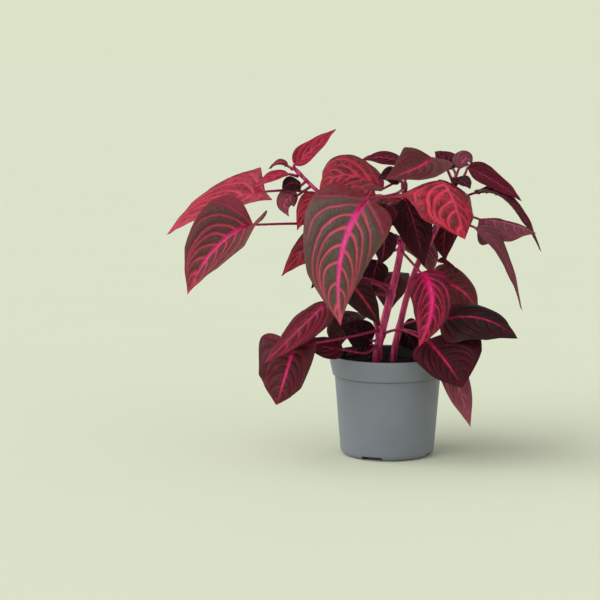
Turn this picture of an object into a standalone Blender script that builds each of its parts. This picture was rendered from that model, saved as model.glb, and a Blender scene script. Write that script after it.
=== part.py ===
"""Bloodleaf in a round grey nursery pot, in metres, +Z up.

The origin is the centre of the pot's base. Lengths in the tables below are in
millimetres and are multiplied by MM where a mesh is made. The plant is seen
from -Y. Each leaf is one curved blade with its midrib and its stalk.
"""
import math

import bmesh
import bpy
from mathutils import Vector, noise

MM = 0.001
GAP = 0.3

# Pot: thin moulded wall with a wider collar below the rim
POT_HEIGHT = 111.0
RIM_RADIUS = 65.0
COLLAR_DROP = 22.5
COLLAR_LOW_RADIUS = 60.6
BODY_TOP_RADIUS = 58.2
FOOT_RADIUS = 51.9
FOOT_ROUND = 7.0
WALL = 1.5
FLOOR = 2.2
POT_STEPS = 44
SLOT_WIDTH = 24.0
SLOT_HEIGHT = 4.6
SLOT_INNER = 37.0
SLOT_ANGLES = (-112.0, -22.0, 68.0, 158.0)

# Soil
SOIL_TOP = 99.0
SOIL_LUMP = 2.2
HOLE_BOTTOM = 62.0

# Leaves
# A blade's rows from base to tip and its columns from margin to margin
BIG = (12, 8)
LONG = (11, 6)
MIDDLE = (9, 6)
SMALL = (6, 4)
BLADE = 0.7
RIB = 1.7
STALK_RADIUS = 1.5
VEIN_SWELL = 0.8

# Colours: base colour, roughness
LOOKS = {
    "pot_grey": ((0.168, 0.193, 0.215), 0.55),
    "soil_dark": ((0.030, 0.018, 0.012), 0.95),
    "stem_magenta": ((0.250, 0.012, 0.060), 0.45),
    "leaf_red": ((0.330, 0.018, 0.040), 0.45),
    "leaf_brown": ((0.110, 0.045, 0.040), 0.48),
    "leaf_dark": ((0.045, 0.008, 0.016), 0.50),
}


def material(name):
    """A Principled material with the named colour and roughness."""
    if name in bpy.data.materials:
        return bpy.data.materials[name]
    mat = bpy.data.materials.new(name)
    mat.use_nodes = True
    shader = mat.node_tree.nodes["Principled BSDF"]
    colour, rough = LOOKS[name]
    shader.inputs["Base Color"].default_value = (*colour, 1.0)
    shader.inputs["Roughness"].default_value = rough
    shader.inputs["Metallic"].default_value = 0.0
    mat.diffuse_color = (*colour, 1.0)
    return mat


def add_object(name, mesh, collection, look=None):
    obj = bpy.data.objects.new(name, mesh)
    collection.objects.link(obj)
    if look:
        mesh.materials.clear()
        mesh.materials.append(material(look))
    return obj


def as_cutter(obj):
    obj.hide_render = True
    obj.display_type = "WIRE"
    return obj


def boolean(obj, operation, other=None, group=None, solver="EXACT"):
    """Apply one Boolean with another object or with a collection."""
    mod = obj.modifiers.new("join", "BOOLEAN")
    mod.operation = operation
    mod.solver = solver
    if group:
        mod.operand_type = "COLLECTION"
        mod.collection = group
    else:
        mod.object = other
    bake(obj)


def bake(obj):
    """Replace an object's mesh with its evaluated mesh."""
    bpy.context.view_layer.update()
    shape = obj.evaluated_get(bpy.context.evaluated_depsgraph_get())
    mesh = bpy.data.meshes.new_from_object(shape)
    old = obj.data
    obj.modifiers.clear()
    obj.data = mesh
    bpy.data.meshes.remove(old)


def discard(obj):
    data = obj.data
    bpy.data.objects.remove(obj, do_unlink=True)
    if data.users == 0:
        bpy.data.meshes.remove(data)


def smooth_path(knots, step):
    """Catmull-Rom points through the knots, about one step apart."""
    knots = [Vector(k) for k in knots]
    ends = [2 * knots[0] - knots[1]] + knots + [2 * knots[-1] - knots[-2]]
    points = [knots[0]]
    for i in range(1, len(ends) - 2):
        a, b, c, d = ends[i - 1:i + 3]
        pieces = max(1, round((c - b).length / step))
        for k in range(1, pieces + 1):
            t = k / pieces
            points.append(0.5 * (2 * b + (c - a) * t + (2 * a - 5 * b + 4 * c - d) * t ** 2
                                 + (3 * b - a - 3 * c + d) * t ** 3))
    return points


def tube(name, points, radii, collection, look=None, rings=1):
    """A closed tube mesh along points, made from a beveled curve. rings 0, 1, 2 give 4, 6, 8 sides."""
    curve = bpy.data.curves.new(name, "CURVE")
    curve.dimensions = "3D"
    curve.bevel_depth = MM
    curve.bevel_resolution = rings
    curve.use_fill_caps = True
    spline = curve.splines.new("POLY")
    spline.points.add(len(points) - 1)
    for knot, point, radius in zip(spline.points, points, radii):
        knot.co = (*(Vector(point) * MM), 1.0)
        knot.radius = radius
    guide = bpy.data.objects.new(name, curve)
    collection.objects.link(guide)
    bpy.context.view_layer.update()
    mesh = bpy.data.meshes.new_from_object(guide.evaluated_get(bpy.context.evaluated_depsgraph_get()))
    place = guide.matrix_world.copy()
    bpy.data.objects.remove(guide, do_unlink=True)
    bpy.data.curves.remove(curve)
    bm = bmesh.new()
    bm.from_mesh(mesh)
    bmesh.ops.remove_doubles(bm, verts=bm.verts, dist=0.00001)
    bmesh.ops.recalc_face_normals(bm, faces=bm.faces)
    bm.to_mesh(mesh)
    bm.free()
    mesh.name = name
    obj = add_object(name, mesh, collection, look)
    obj.matrix_world = place
    return obj


def turned(name, profile, collection, look, steps=POT_STEPS):
    """A closed profile of (radius, height) points, top to bottom on its outer side, turned about Z."""
    bm = bmesh.new()
    verts = [bm.verts.new((r * MM, 0.0, z * MM)) for r, z in profile]
    for a, b in zip(verts, verts[1:]):
        bm.edges.new((a, b))
    mesh = bpy.data.meshes.new(name)
    bm.to_mesh(mesh)
    bm.free()
    obj = add_object(name, mesh, collection, look)
    mod = obj.modifiers.new("turn", "SCREW")
    mod.steps = steps
    mod.render_steps = steps
    mod.use_merge_vertices = True
    mod.merge_threshold = 0.00001
    bake(obj)
    obj.data.materials.clear()
    obj.data.materials.append(material(look))
    return obj


def pot_profile():
    """Outer side from the rim down, across the base, then up the inner side."""
    step = POT_HEIGHT - COLLAR_DROP
    outer = [
        (RIM_RADIUS - 1.2, POT_HEIGHT),
        (RIM_RADIUS, POT_HEIGHT - 0.8),
        (RIM_RADIUS - 0.2, POT_HEIGHT - 3.0),
        (COLLAR_LOW_RADIUS, step + 0.6),
        (COLLAR_LOW_RADIUS - 0.5, step),
        (BODY_TOP_RADIUS, step - 0.8),
        (FOOT_RADIUS, FOOT_ROUND),
    ]
    for k in range(1, 4):
        turn = math.radians(90 * k / 4)
        outer.append((FOOT_RADIUS - FOOT_ROUND * (1 - math.cos(turn)), FOOT_ROUND * (1 - math.sin(turn))))
    outer.append((FOOT_RADIUS - FOOT_ROUND, 0.0))
    outer.append((0.0, 0.0))
    inner = [
        (0.0, FLOOR),
        (FOOT_RADIUS - FOOT_ROUND - 0.5, FLOOR),
        (FOOT_RADIUS - WALL - 1.4, FOOT_ROUND - 1.0),
        (BODY_TOP_RADIUS - WALL, step - 0.2),
        (COLLAR_LOW_RADIUS - WALL, step + 2.4),
        (RIM_RADIUS - WALL - 0.6, POT_HEIGHT - 3.0),
        (RIM_RADIUS - WALL - 0.5, POT_HEIGHT),
    ]
    return outer, inner


def wall_inside(height):
    """Inner radius of the pot at a height."""
    inner = pot_profile()[1]
    for (r0, z0), (r1, z1) in zip(inner, inner[1:]):
        if z0 <= height <= z1 and z1 > z0:
            return r0 + (r1 - r0) * (height - z0) / (z1 - z0)
    return inner[-1][0]


def build_pot(parts, cutters):
    outer, inner = pot_profile()
    pot = turned("pot", outer + inner + [outer[0]], parts, "pot_grey")
    group = bpy.data.collections.new("drain slot cutters")
    cutters.children.link(group)
    for k, angle in enumerate(SLOT_ANGLES):
        bpy.ops.mesh.primitive_cube_add(size=1.0)
        box = bpy.context.object
        box.name = "drain slot %d" % (k + 1)
        for old in box.users_collection:
            old.objects.unlink(box)
        group.objects.link(as_cutter(box))
        length = FOOT_RADIUS + 10 - SLOT_INNER
        reach = SLOT_INNER + length / 2
        turn = math.radians(angle)
        box.scale = (length * MM, SLOT_WIDTH * MM, 2 * SLOT_HEIGHT * MM)
        box.location = (reach * math.cos(turn) * MM, reach * math.sin(turn) * MM, 0.0)
        box.rotation_euler = (0.0, 0.0, turn)
    boolean(pot, "DIFFERENCE", group=group)
    for box in list(group.objects):
        discard(box)
    pot.data.shade_smooth()
    pot.data.set_sharp_from_angle(angle=math.radians(35))
    return pot


# Stems: knots of the centre line, the radius at the foot and at the tip, and
# the heights of the swollen joints where leaves grow in pairs
STEMS = {
    "stem_main": dict(
        knots=((-13, -8, 64), (-12, -8, 109), (-8, -8, 132), (3, -7, 177), (10, -3, 206), (16, 0, 240),
               (18, 1, 272), (17, 2, 300)),
        radii=(5.2, 3.2), joints=(134, 177, 226, 262, 296)),
    "stem_right": dict(
        knots=((5, 13, 64), (8, 13, 111), (14, 13, 140), (22, 11, 175), (34, 7, 212), (50, 2, 244),
               (63, -4, 276), (72, -8, 306)),
        radii=(4.2, 2.6), joints=(138, 190, 224, 262, 300)),
    "stem_back": dict(
        knots=((-6, 26, 64), (-8, 28, 111), (-12, 36, 150), (-18, 46, 195), (-22, 52, 235), (-22, 54, 268)),
        radii=(3.8, 2.4), joints=(142, 182, 222, 262)),
}
BRANCHES = {
    "stem_main": dict(
        knots=((15, 0, 232), (-6, -6, 244), (-36, -12, 258), (-62, -18, 278), (-84, -22, 298),
               (-104, -22, 318)),
        radii=(2.9, 2.0), joints=(250, 284, 312)),
}


def stem_points(spec, extra=0.0):
    """Centre-line points and radii of a stem, thicker at its joints."""
    points = smooth_path(spec["knots"], 16.0)
    for height in spec["joints"]:
        for k, (a, b) in enumerate(zip(points, points[1:])):
            if a.z < height < b.z:
                cut = a.lerp(b, (height - a.z) / (b.z - a.z))
                near = a if abs(a.z - height) < 4 else b if abs(b.z - height) < 4 else None
                if near is None:
                    points.insert(k + 1, cut)
                else:
                    near.xyz = cut
                break
    thick, thin = spec["radii"]
    radii = []
    for k, p in enumerate(points):
        share = k / (len(points) - 1)
        radius = thick + (thin - thick) * share
        if min(abs(p.z - h) for h in spec["joints"]) < 0.01:
            radius *= 1.22
        radii.append(radius + extra)
    return points, radii


def build_stems(parts, cutters):
    """Stems, and a slightly thicker copy of each as a cutter for what meets it."""
    stems = {}
    keepers = {}
    for name, spec in STEMS.items():
        stems[name] = tube(name, *stem_points(spec), parts, "stem_magenta", rings=2)
        keepers[name] = as_cutter(tube(name + " clearance", *stem_points(spec, GAP), cutters, rings=2))
    for name, spec in BRANCHES.items():
        side = tube("side shoot", *stem_points(spec), cutters, rings=1)
        boolean(stems[name], "UNION", side)
        discard(side)
        side = tube("side shoot", *stem_points(spec, GAP), cutters, rings=1)
        boolean(keepers[name], "UNION", side)
        discard(side)
    for stem in stems.values():
        stem.data.shade_smooth()
    return stems, keepers


def build_soil(parts, cutters, keepers):
    """Potting soil, lumpy on top, with a plain hole for each stem."""
    rings = [(0.0, SOIL_TOP)]
    for k in range(1, 6):
        rings.append(((wall_inside(SOIL_TOP - SOIL_LUMP) - 2 * GAP) * k / 5, SOIL_TOP))
    low = FOOT_ROUND + 2.0
    step = POT_HEIGHT - COLLAR_DROP
    profile = rings + [
        (wall_inside(step + 2.4) - GAP, step + 2.4),
        (wall_inside(step - 0.2) - GAP, step - 0.2),
        (wall_inside(low) - GAP, low),
        (FOOT_RADIUS - FOOT_ROUND - 1.2, FLOOR + GAP),
        (0.0, FLOOR + GAP),
    ]
    soil = turned("soil", profile, parts, "soil_dark", steps=26)
    for vert in soil.data.vertices:
        x, y, z = vert.co / MM
        if z > SOIL_TOP - 0.01:
            lump = noise.noise(Vector((x, y, 0)) * 0.07) * SOIL_LUMP
            vert.co.z = (SOIL_TOP + lump) * MM
    bpy.context.view_layer.update()
    group = bpy.data.collections.new("stem hole cutters")
    cutters.children.link(group)
    for name, spec in STEMS.items():
        points, radii = stem_points(spec, GAP)
        start = points[0].copy()
        start.z = HOLE_BOTTOM
        run = [start] + [p for p in points[1:] if p.z < SOIL_TOP + 30]
        hole = tube(name + " hole", run, radii[:len(run)], group, rings=2)
        as_cutter(hole)
    boolean(soil, "DIFFERENCE", group=group)
    for hole in list(group.objects):
        discard(hole)
    return soil


def half_width(t, full_at, point):
    """Outline of the blade: rounded at the base, drawn out to the tip, 1 where it is widest."""
    if t <= 0.0 or t >= 1.0:
        return 0.0
    blunt = point * full_at / (1 - full_at)
    return (t / full_at) ** blunt * ((1 - t) / (1 - full_at)) ** point


def build_blade(name, spec, collection):
    """One blade: an open curved surface, then a thickness with a deeper midrib below."""
    base, mid, tip = (Vector(spec[k]) for k in ("base", "mid", "tip"))
    bend = 2 * mid - 0.5 * (base + tip)
    face = Vector(spec["face"]).normalized()
    side = (tip - base).cross(face).normalized()
    half = spec["width"] / 2
    fold = math.radians(spec.get("fold", 0))
    fold_base = math.radians(spec.get("fold_base", spec.get("fold", 0) + 14))
    droop = math.radians(spec.get("droop", 24))
    wave = spec.get("wave", 0.05)
    lobe = spec.get("lobe", 0.14)
    lean = spec.get("lean", 0)
    full_at = spec.get("full_at", 0.34)
    drawn = spec.get("point", 1.2)
    curl = Vector(spec.get("curl", (0, 0, 0)))
    rows, columns = spec["grid"]
    slant = 0.17

    def surface(u, v):
        """Point of the blade at u from one margin, -1, to the other, 1, and v from base to tip."""
        reach = abs(u)
        t = v + slant * math.sin(math.pi * v) ** 2 * reach ** 1.1
        hand = 1 if u > 0 else -1
        wide = half * (1 + lean * hand) * half_width(t, full_at, drawn)
        t -= lobe * math.sin(math.pi * min(1.0, v / 0.5)) * reach ** 1.5
        point = (1 - t) ** 2 * base + 2 * t * (1 - t) * bend + t ** 2 * tip
        heading = (2 * (1 - t) * (bend - base) + 2 * t * (tip - bend)).normalized()
        across = (side - side.dot(heading) * heading).normalized()
        up = across.cross(heading)
        start = fold + (fold_base - fold) * max(0.0, 1 - v / 0.6) ** 1.5
        end = start - droop * reach
        out = (math.sin(start) - math.sin(end)) / droop
        lift = (math.cos(end) - math.cos(start)) / droop
        swell = VEIN_SWELL * (-1) ** round(v * rows) * wide / half
        swell *= math.sin(math.pi * min(1.0, reach * 1.1))
        ripple = wave * wide * reach ** 2 * math.sin(2 * math.pi * (2.5 * v + 0.3 * hand))
        turned_up = reach ** 2 * math.sin(math.pi * min(1.0, v / 0.34)) if u < 0 else 0.0
        point += across * (hand * out * wide) + up * (lift * wide + swell + ripple)
        return point + curl * turned_up

    bm = bmesh.new()
    bmesh.ops.create_grid(bm, x_segments=columns, y_segments=rows, size=1.0)
    rib = bm.verts.layers.deform.verify()
    ends = {0: [], 1: []}
    for vert in bm.verts:
        u, v = vert.co.x, (vert.co.y + 1) / 2
        if v < 0.001 or v > 0.999:
            ends[round(v)].append(vert)
        vert.co = surface(u, v) * MM
        vert[rib][0] = (1 - 0.75 * v) if abs(u) < 0.001 else 0.0
    for group in ends.values():
        bmesh.ops.pointmerge(bm, verts=group, merge_co=group[0].co)
    bmesh.ops.triangulate(bm, faces=bm.faces, quad_method="SHORT_EDGE")
    mesh = bpy.data.meshes.new(name)
    bm.to_mesh(mesh)
    bm.free()
    blade = add_object(name, mesh, collection)
    blade.vertex_groups.new(name="rib")
    thick = blade.modifiers.new("thickness", "SOLIDIFY")
    thick.thickness = RIB * MM
    thick.vertex_group = "rib"
    thick.thickness_vertex_group = BLADE / RIB
    thick.offset = -1.0
    bake(blade)
    return blade


def build_leaf(name, spec, parts, cutters, keepers):
    """A blade with its stalk; the stalk ends just clear of the stem that carries it."""
    leaf = build_blade(name, spec, parts)
    base, mid, tip = (Vector(spec[k]) for k in ("base", "mid", "tip"))
    run = smooth_path(tuple(spec["stalk"]) + (base,), 14.0)
    heading = (2 * mid - 0.5 * (base + tip) - base).normalized()
    face = Vector(spec["face"]).normalized()
    below = -(face - face.dot(heading) * heading).normalized()
    reach = 0.10 * (tip - base).length
    run[-1] = base + below * 0.5
    run.append(base + heading * reach + below * 0.7)
    thick = spec.get("stalk_radius", STALK_RADIUS)
    radii = [thick * (1.15 - 0.3 * k / (len(run) - 1)) for k in range(len(run))]
    radii[-1] = thick * 0.6
    stalk = tube("stalk", run, radii, cutters, rings=0 if spec["grid"] == SMALL else 1)
    boolean(leaf, "UNION", stalk)
    discard(stalk)
    for keeper in spec["stem"].split():
        boolean(leaf, "DIFFERENCE", keepers[keeper])
    leaf.data.materials.clear()
    leaf.data.materials.append(material(spec.get("look", "leaf_red")))
    leaf.data.shade_smooth()
    return leaf


# Leaves. Blade: base, middle and tip of the midrib, full width, and the way its
# upper side faces at the middle. Angles in degrees: fold lifts both halves from
# the midrib, droop curls them down again, and curl (in mm) turns up the lobe on one
# side of the base. The stalk starts inside its stem.
LEAVES = {
    "leaf_front_large": dict(
        stem="stem_main", stalk=((17, 1, 293), (4, -38, 290)), look="leaf_brown",
        base=(-25, -62, 287), mid=(-53, -104, 234), tip=(-54, -107, 157), width=91,
        face=(0.1, -0.95, 0.25), fold=-6, fold_base=24, droop=24, lean=0.12, grid=BIG),
    "leaf_left_front": dict(
        stem="stem_main", stalk=((-24, -10, 252), (-90, -35, 258)), look="leaf_brown",
        base=(-146, -68, 260), mid=(-185, -90, 237), tip=(-215, -98, 189), width=88,
        face=(-0.45, -0.8, 0.4), fold=28, droop=12, full_at=0.3, curl=(-1, 3, 18), grid=BIG),
    "leaf_left_upper": dict(
        stem="stem_main", stalk=((-74, -21, 288), (-104, -23, 293)), look="leaf_red",
        base=(-134, -25, 292), mid=(-188, -36, 279), tip=(-240, -45, 247), width=70,
        face=(-0.1, -0.5, 0.8), fold=18, droop=14, fold_base=28, full_at=0.18, point=1.15,
        lobe=0.2, grid=LONG),
    "leaf_behind_front": dict(
        stem="stem_main", stalk=((17, 2, 299), (10, -2, 301)), look="leaf_red",
        base=(-6, -9, 294), mid=(-55, -12, 308), tip=(-74, -8, 274), width=78,
        face=(0, -0.45, 0.9), fold=12, droop=24, full_at=0.42, grid=MIDDLE),
    "leaf_tip_left_up": dict(
        stem="stem_main", stalk=((-103, -23, 315),), look="leaf_red",
        base=(-103, -25, 321), mid=(-82, -27, 339), tip=(-58, -31, 360), width=25,
        face=(-0.35, -0.8, 0.5), fold=18, droop=20, lobe=0.05, grid=SMALL),
    "leaf_tip_left_low": dict(
        stem="stem_main", stalk=((-102, -22, 309),), look="leaf_red",
        base=(-109, -26, 311), mid=(-127, -34, 308), tip=(-147, -42, 296), width=22,
        face=(-0.1, -0.4, 0.9), fold=10, droop=20, lobe=0.05, grid=SMALL),
    "leaf_tip_left_back": dict(
        stem="stem_main", stalk=((-105, -21, 316),), look="leaf_dark",
        base=(-110, -14, 319), mid=(-120, -14, 323), tip=(-131, -12, 316), width=14,
        face=(-0.1, -0.4, 0.9), fold=10, droop=20, lobe=0.05, grid=SMALL),
    "leaf_left_bud": dict(
        stem="stem_main", stalk=((-90, -22, 303),), look="leaf_dark",
        base=(-95, -30, 299), mid=(-107, -36, 302), tip=(-116, -40, 293), width=24,
        face=(0, -0.75, 0.65), fold=4, droop=40, lobe=0.1, grid=SMALL),
    "leaf_left_pale": dict(
        stem="stem_main", stalk=((-84, -22, 298),), look="leaf_brown",
        base=(-99, -28, 288), mid=(-113, -34, 281), tip=(-108, -38, 266), width=22,
        face=(0.2, -0.9, 0.3), fold=6, droop=20, lobe=0.05, grid=SMALL),
    "leaf_left_under": dict(
        stem="stem_main", stalk=((-72, -20, 286),), look="leaf_red",
        base=(-74, -33, 287), mid=(-88, -44, 276), tip=(-100, -50, 252), width=30,
        face=(-0.3, -0.9, 0.3), fold=8, droop=20, lobe=0.08, grid=SMALL),
    "leaf_top": dict(
        stem="stem_right", stalk=((70, -7, 300), (60, 0, 320)), look="leaf_brown",
        base=(47, 0, 327), mid=(29, -20, 317), tip=(-7, -38, 306), width=62,
        face=(-0.05, -0.6, 0.8), fold=14, droop=18, lobe=0.08, grid=MIDDLE),
    "leaf_right_red": dict(
        stem="stem_right", stalk=((69, -7, 296), (62, -15, 301)), look="leaf_red",
        base=(53, -25, 304), mid=(64, -68, 290), tip=(76, -96, 247), width=87,
        face=(0.3, -0.6, 0.74), fold=-16, fold_base=-6, droop=24, lobe=0.36, full_at=0.43,
        lean=0.1, point=1.05, grid=LONG),
    "leaf_tip_right_dark": dict(
        stem="stem_right", stalk=((71, -7, 301), (73, 0, 308)), look="leaf_dark",
        base=(71, 4, 314), mid=(61, 12, 325), tip=(51, 16, 333), width=29,
        face=(0.3, -0.8, 0.5), fold=12, droop=20, lobe=0.05, grid=SMALL),
    "leaf_tip_right_grey": dict(
        stem="stem_right", stalk=((72, -8, 305),), look="leaf_brown",
        base=(76, -4, 315), mid=(84, -2, 326), tip=(92, -4, 319), width=28,
        face=(0, -0.7, 0.7), fold=10, droop=20, lobe=0.05, grid=SMALL),
    "leaf_right_wine": dict(
        stem="stem_right", stalk=((71, -8, 296), (80, -13, 306)), look="leaf_red",
        base=(85, -11, 317), mid=(115, -14, 302), tip=(143, -26, 282), width=34,
        face=(0.3, -0.6, 0.75), fold=10, droop=24, lobe=0.05, grid=SMALL),
    "leaf_right_arched": dict(
        stem="stem_right", stalk=((70, -7, 288), (81, -3, 285)), look="leaf_red",
        base=(94, -15, 290), mid=(130, -30, 281), tip=(164, -36, 227), width=50,
        face=(0.45, -0.2, 0.87), fold=14, droop=24, lobe=0.05, grid=MIDDLE),
    "leaf_right_small": dict(
        stem="stem_right", stalk=((70, -8, 298),), look="leaf_dark",
        base=(71, -20, 306), mid=(79, -34, 303), tip=(86, -43, 297), width=22,
        face=(0, -0.4, 0.9), fold=10, droop=20, lobe=0.05, grid=SMALL),
    "leaf_right_flat": dict(
        stem="stem_right", stalk=((58, -2, 263), (74, -18, 268)), look="leaf_brown",
        base=(95, -44, 264), mid=(124, -56, 261), tip=(154, -68, 251), width=60,
        face=(0.05, -0.5, 0.85), fold=-24, fold_base=-24, droop=14, grid=MIDDLE),
    "leaf_right_hanging": dict(
        stem="stem_right", stalk=((57, -1, 259), (70, -36, 262)), look="leaf_brown",
        base=(88, -78, 258), mid=(116, -88, 231), tip=(138, -90, 171), width=42,
        face=(0.75, -0.4, 0.5), fold=12, droop=24, lobe=0.05, full_at=0.3, point=1.5,
        grid=MIDDLE),
    "leaf_centre_pink": dict(
        stem="stem_main", stalk=((13, -2, 226), (20, -28, 220)), look="leaf_red",
        base=(32, -56, 208), mid=(43, -80, 178), tip=(29, -86, 132), width=47,
        face=(0, -0.92, 0.38), fold=2, droop=24, full_at=0.4, point=1.05, grid=LONG),
    "leaf_centre_behind": dict(
        stem="stem_right", stalk=((26, 9, 190), (34, 2, 194)), look="leaf_dark",
        base=(48, 0, 190), mid=(80, -2, 182), tip=(101, 3, 152), width=50,
        face=(0.1, -0.8, 0.6), fold=4, droop=24, grid=MIDDLE),
    "leaf_right_low": dict(
        stem="stem_right", stalk=((14, 13, 140), (38, -6, 150)), look="leaf_dark",
        base=(53, -50, 155), mid=(96, -66, 160), tip=(135, -74, 139), width=60,
        face=(0.05, -0.7, 0.7), fold=-14, droop=16, point=0.95, fold_base=-8, grid=MIDDLE),
    "leaf_low_right": dict(
        stem="stem_main", stalk=((-8, -8, 134), (12, -32, 142)), look="leaf_dark",
        base=(39, -52, 134), mid=(56, -80, 118), tip=(75, -95, 90), width=78,
        face=(-0.03, -0.67, 0.65), fold=8, fold_base=8, droop=14, full_at=0.42, point=0.95,
        lobe=0.08, lean=-0.3, grid=LONG),
    "leaf_low_right_behind": dict(
        stem="stem_right", stalk=((14, 13, 137), (36, -8, 134)), look="leaf_red",
        base=(57, -36, 124), mid=(72, -58, 89), tip=(86, -74, 43), width=33,
        face=(0.2, -0.85, 0.5), fold=4, droop=24, full_at=0.45, lobe=0.05, grid=MIDDLE),
    "leaf_left_arched": dict(
        stem="stem_main", stalk=((3, -7, 177), (-30, -26, 180)), look="leaf_red",
        base=(-66, -44, 175), mid=(-90, -70, 156), tip=(-134, -113, 119), width=48,
        face=(-0.4, -0.55, 0.75), fold=0, droop=28, lobe=0.05, full_at=0.44, point=0.95, grid=MIDDLE),
    "leaf_left_round": dict(
        stem="stem_main", stalk=((-8, -8, 139), (-50, -46, 135)), look="leaf_brown",
        base=(-103, -74, 131), mid=(-111, -86, 105), tip=(-122, -90, 70), width=64,
        face=(-0.35, -0.9, 0.3), fold=4, fold_base=40, droop=24, lobe=0.46, full_at=0.44,
        point=1.0, lean=0.2, grid=LONG),
    "leaf_left_rim": dict(
        stem="stem_main", stalk=((-11, -9, 122), (-26, -30, 116)), look="leaf_dark",
        base=(-50, -42, 122), mid=(-73, -48, 127), tip=(-96, -52, 136), width=30,
        face=(0, -0.7, 0.7), fold=4, droop=24, lobe=0.05, grid=SMALL),
    "leaf_left_inner": dict(
        stem="stem_main", stalk=((-12, -7, 246), (-40, -26, 246)), look="leaf_red",
        base=(-62, -30, 249), mid=(-89, -38, 233), tip=(-117, -44, 202), width=42,
        face=(-0.3, -0.7, 0.6), fold=4, droop=24, grid=SMALL),
    "leaf_inner_vein": dict(
        stem="stem_main", stalk=((2, -7, 180), (-18, -22, 192)), look="leaf_brown",
        base=(-42, -34, 193), mid=(-26, -38, 174), tip=(-9, -34, 146), width=34,
        face=(0.1, -0.9, 0.4), fold=4, droop=24, lobe=0.05, grid=SMALL),
    "leaf_inner_left": dict(
        stem="stem_main", stalk=((14, -1, 228), (0, 6, 222)), look="leaf_dark",
        base=(-11, 6, 214), mid=(-16, 3, 196), tip=(-20, 0, 172), width=30,
        face=(-0.1, -0.95, 0.2), fold=2, droop=20, lobe=0.05, grid=SMALL),
    "leaf_low_left_dark": dict(
        stem="stem_main", stalk=((-10, -8, 128),), look="leaf_dark",
        base=(-18, -8, 126), mid=(-34, -10, 137), tip=(-52, -8, 144), width=36,
        face=(0, -0.85, 0.5), fold=2, droop=20, lobe=0.05, grid=SMALL),
    "leaf_low_back_right": dict(
        stem="stem_right", stalk=((9, 13, 120), (12, 24, 130)), look="leaf_dark",
        base=(16, 30, 133), mid=(26, 34, 124), tip=(36, 30, 106), width=38,
        face=(0, -0.8, 0.6), fold=2, droop=20, lobe=0.05, grid=SMALL),
    "leaf_low_back_left": dict(
        stem="stem_back", stalk=((-8, 28, 114),), look="leaf_dark",
        base=(-16, 18, 118), mid=(-30, 18, 116), tip=(-46, 14, 106), width=28,
        face=(0, -0.5, 0.86), fold=2, droop=20, lobe=0.05, grid=SMALL),
    "leaf_inner_black": dict(
        stem="stem_main", stalk=((18, 1, 281),), look="leaf_dark",
        base=(17, -9, 283), mid=(28, -14, 254), tip=(38, -22, 209), width=50,
        face=(0, -0.98, 0.2), fold=2, droop=22, grid=MIDDLE),
    "leaf_inner_brown": dict(
        stem="stem_main", stalk=((17, 0, 258), (4, 0, 254)), look="leaf_dark",
        base=(-6, -24, 249), mid=(-6, -29, 231), tip=(-10, -27, 212), width=28,
        face=(-0.1, -0.95, 0.2), fold=2, droop=20, lobe=0.05, grid=SMALL),
    "leaf_inner_red": dict(
        stem="stem_main", stalk=((18, 1, 272), (2, -3, 276)), look="leaf_red",
        base=(-2, -18, 277), mid=(-7, -28, 266), tip=(-12, -32, 250), width=30,
        face=(-0.2, -0.9, 0.4), fold=2, droop=20, lobe=0.05, grid=SMALL),
    "leaf_inner_right": dict(
        stem="stem_right", stalk=((57, 0, 260),), look="leaf_red",
        base=(66, 10, 256), mid=(62, 11, 236), tip=(64, 12, 212), width=30,
        face=(0.1, -0.98, 0.1), fold=2, droop=20, lobe=0.05, grid=SMALL),
    "leaf_right_curl": dict(
        stem="stem_right", stalk=((43, 4, 230),), look="leaf_dark",
        base=(54, -4, 215), mid=(65, -6, 212), tip=(78, -6, 202), width=18,
        face=(0, -0.2, 0.98), fold=10, droop=20, lobe=0.05, grid=SMALL),
    "leaf_top_small": dict(
        stem="stem_main", stalk=((17, 4, 294), (20, 14, 312)), look="leaf_red",
        base=(14, 24, 320), mid=(-7, 26, 326), tip=(-30, 24, 323), width=24,
        face=(0, -0.6, 0.8), fold=6, droop=24, lobe=0.05, grid=SMALL),
    "leaf_top_dark": dict(
        stem="stem_main", stalk=((17, 0, 297),), look="leaf_dark",
        base=(11, -10, 305), mid=(1, -16, 309), tip=(-12, -20, 306), width=26,
        face=(0, -0.8, 0.6), fold=6, droop=24, lobe=0.05, grid=SMALL),
    "leaf_left_hidden": dict(
        stem="stem_main", stalk=((4, -7, 186), (-28, -8, 196)), look="leaf_dark",
        base=(-58, -16, 197), mid=(-72, -18, 197), tip=(-85, -20, 186), width=24,
        face=(-0.1, -0.8, 0.6), fold=6, droop=24, lobe=0.05, grid=SMALL),
    "leaf_back_top": dict(
        stem="stem_back", stalk=((-22, 54, 262), (-14, 66, 272)), look="leaf_red",
        base=(-8, 76, 276), mid=(8, 112, 272), tip=(18, 150, 234), width=66,
        face=(0.1, 0.35, 0.93), fold=6, droop=24, grid=MIDDLE),
    "leaf_back_top_left": dict(
        stem="stem_back", stalk=((-22, 54, 264), (-36, 62, 272)), look="leaf_red",
        base=(-46, 68, 275), mid=(-70, 92, 266), tip=(-88, 122, 228), width=62,
        face=(-0.2, 0.3, 0.93), fold=6, droop=24, grid=MIDDLE),
    "leaf_back_right": dict(
        stem="stem_back", stalk=((-22, 50, 222), (-2, 60, 232)), look="leaf_brown",
        base=(8, 66, 234), mid=(38, 92, 222), tip=(56, 124, 182), width=64,
        face=(0.25, 0.3, 0.92), fold=6, droop=24, grid=MIDDLE),
    "leaf_back_left": dict(
        stem="stem_back", stalk=((-22, 51, 224), (-34, 64, 232)), look="leaf_brown",
        base=(-42, 74, 234), mid=(-54, 110, 224), tip=(-58, 142, 180), width=62,
        face=(-0.1, 0.35, 0.93), fold=6, droop=24, grid=MIDDLE),
    "leaf_back_low": dict(
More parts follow.
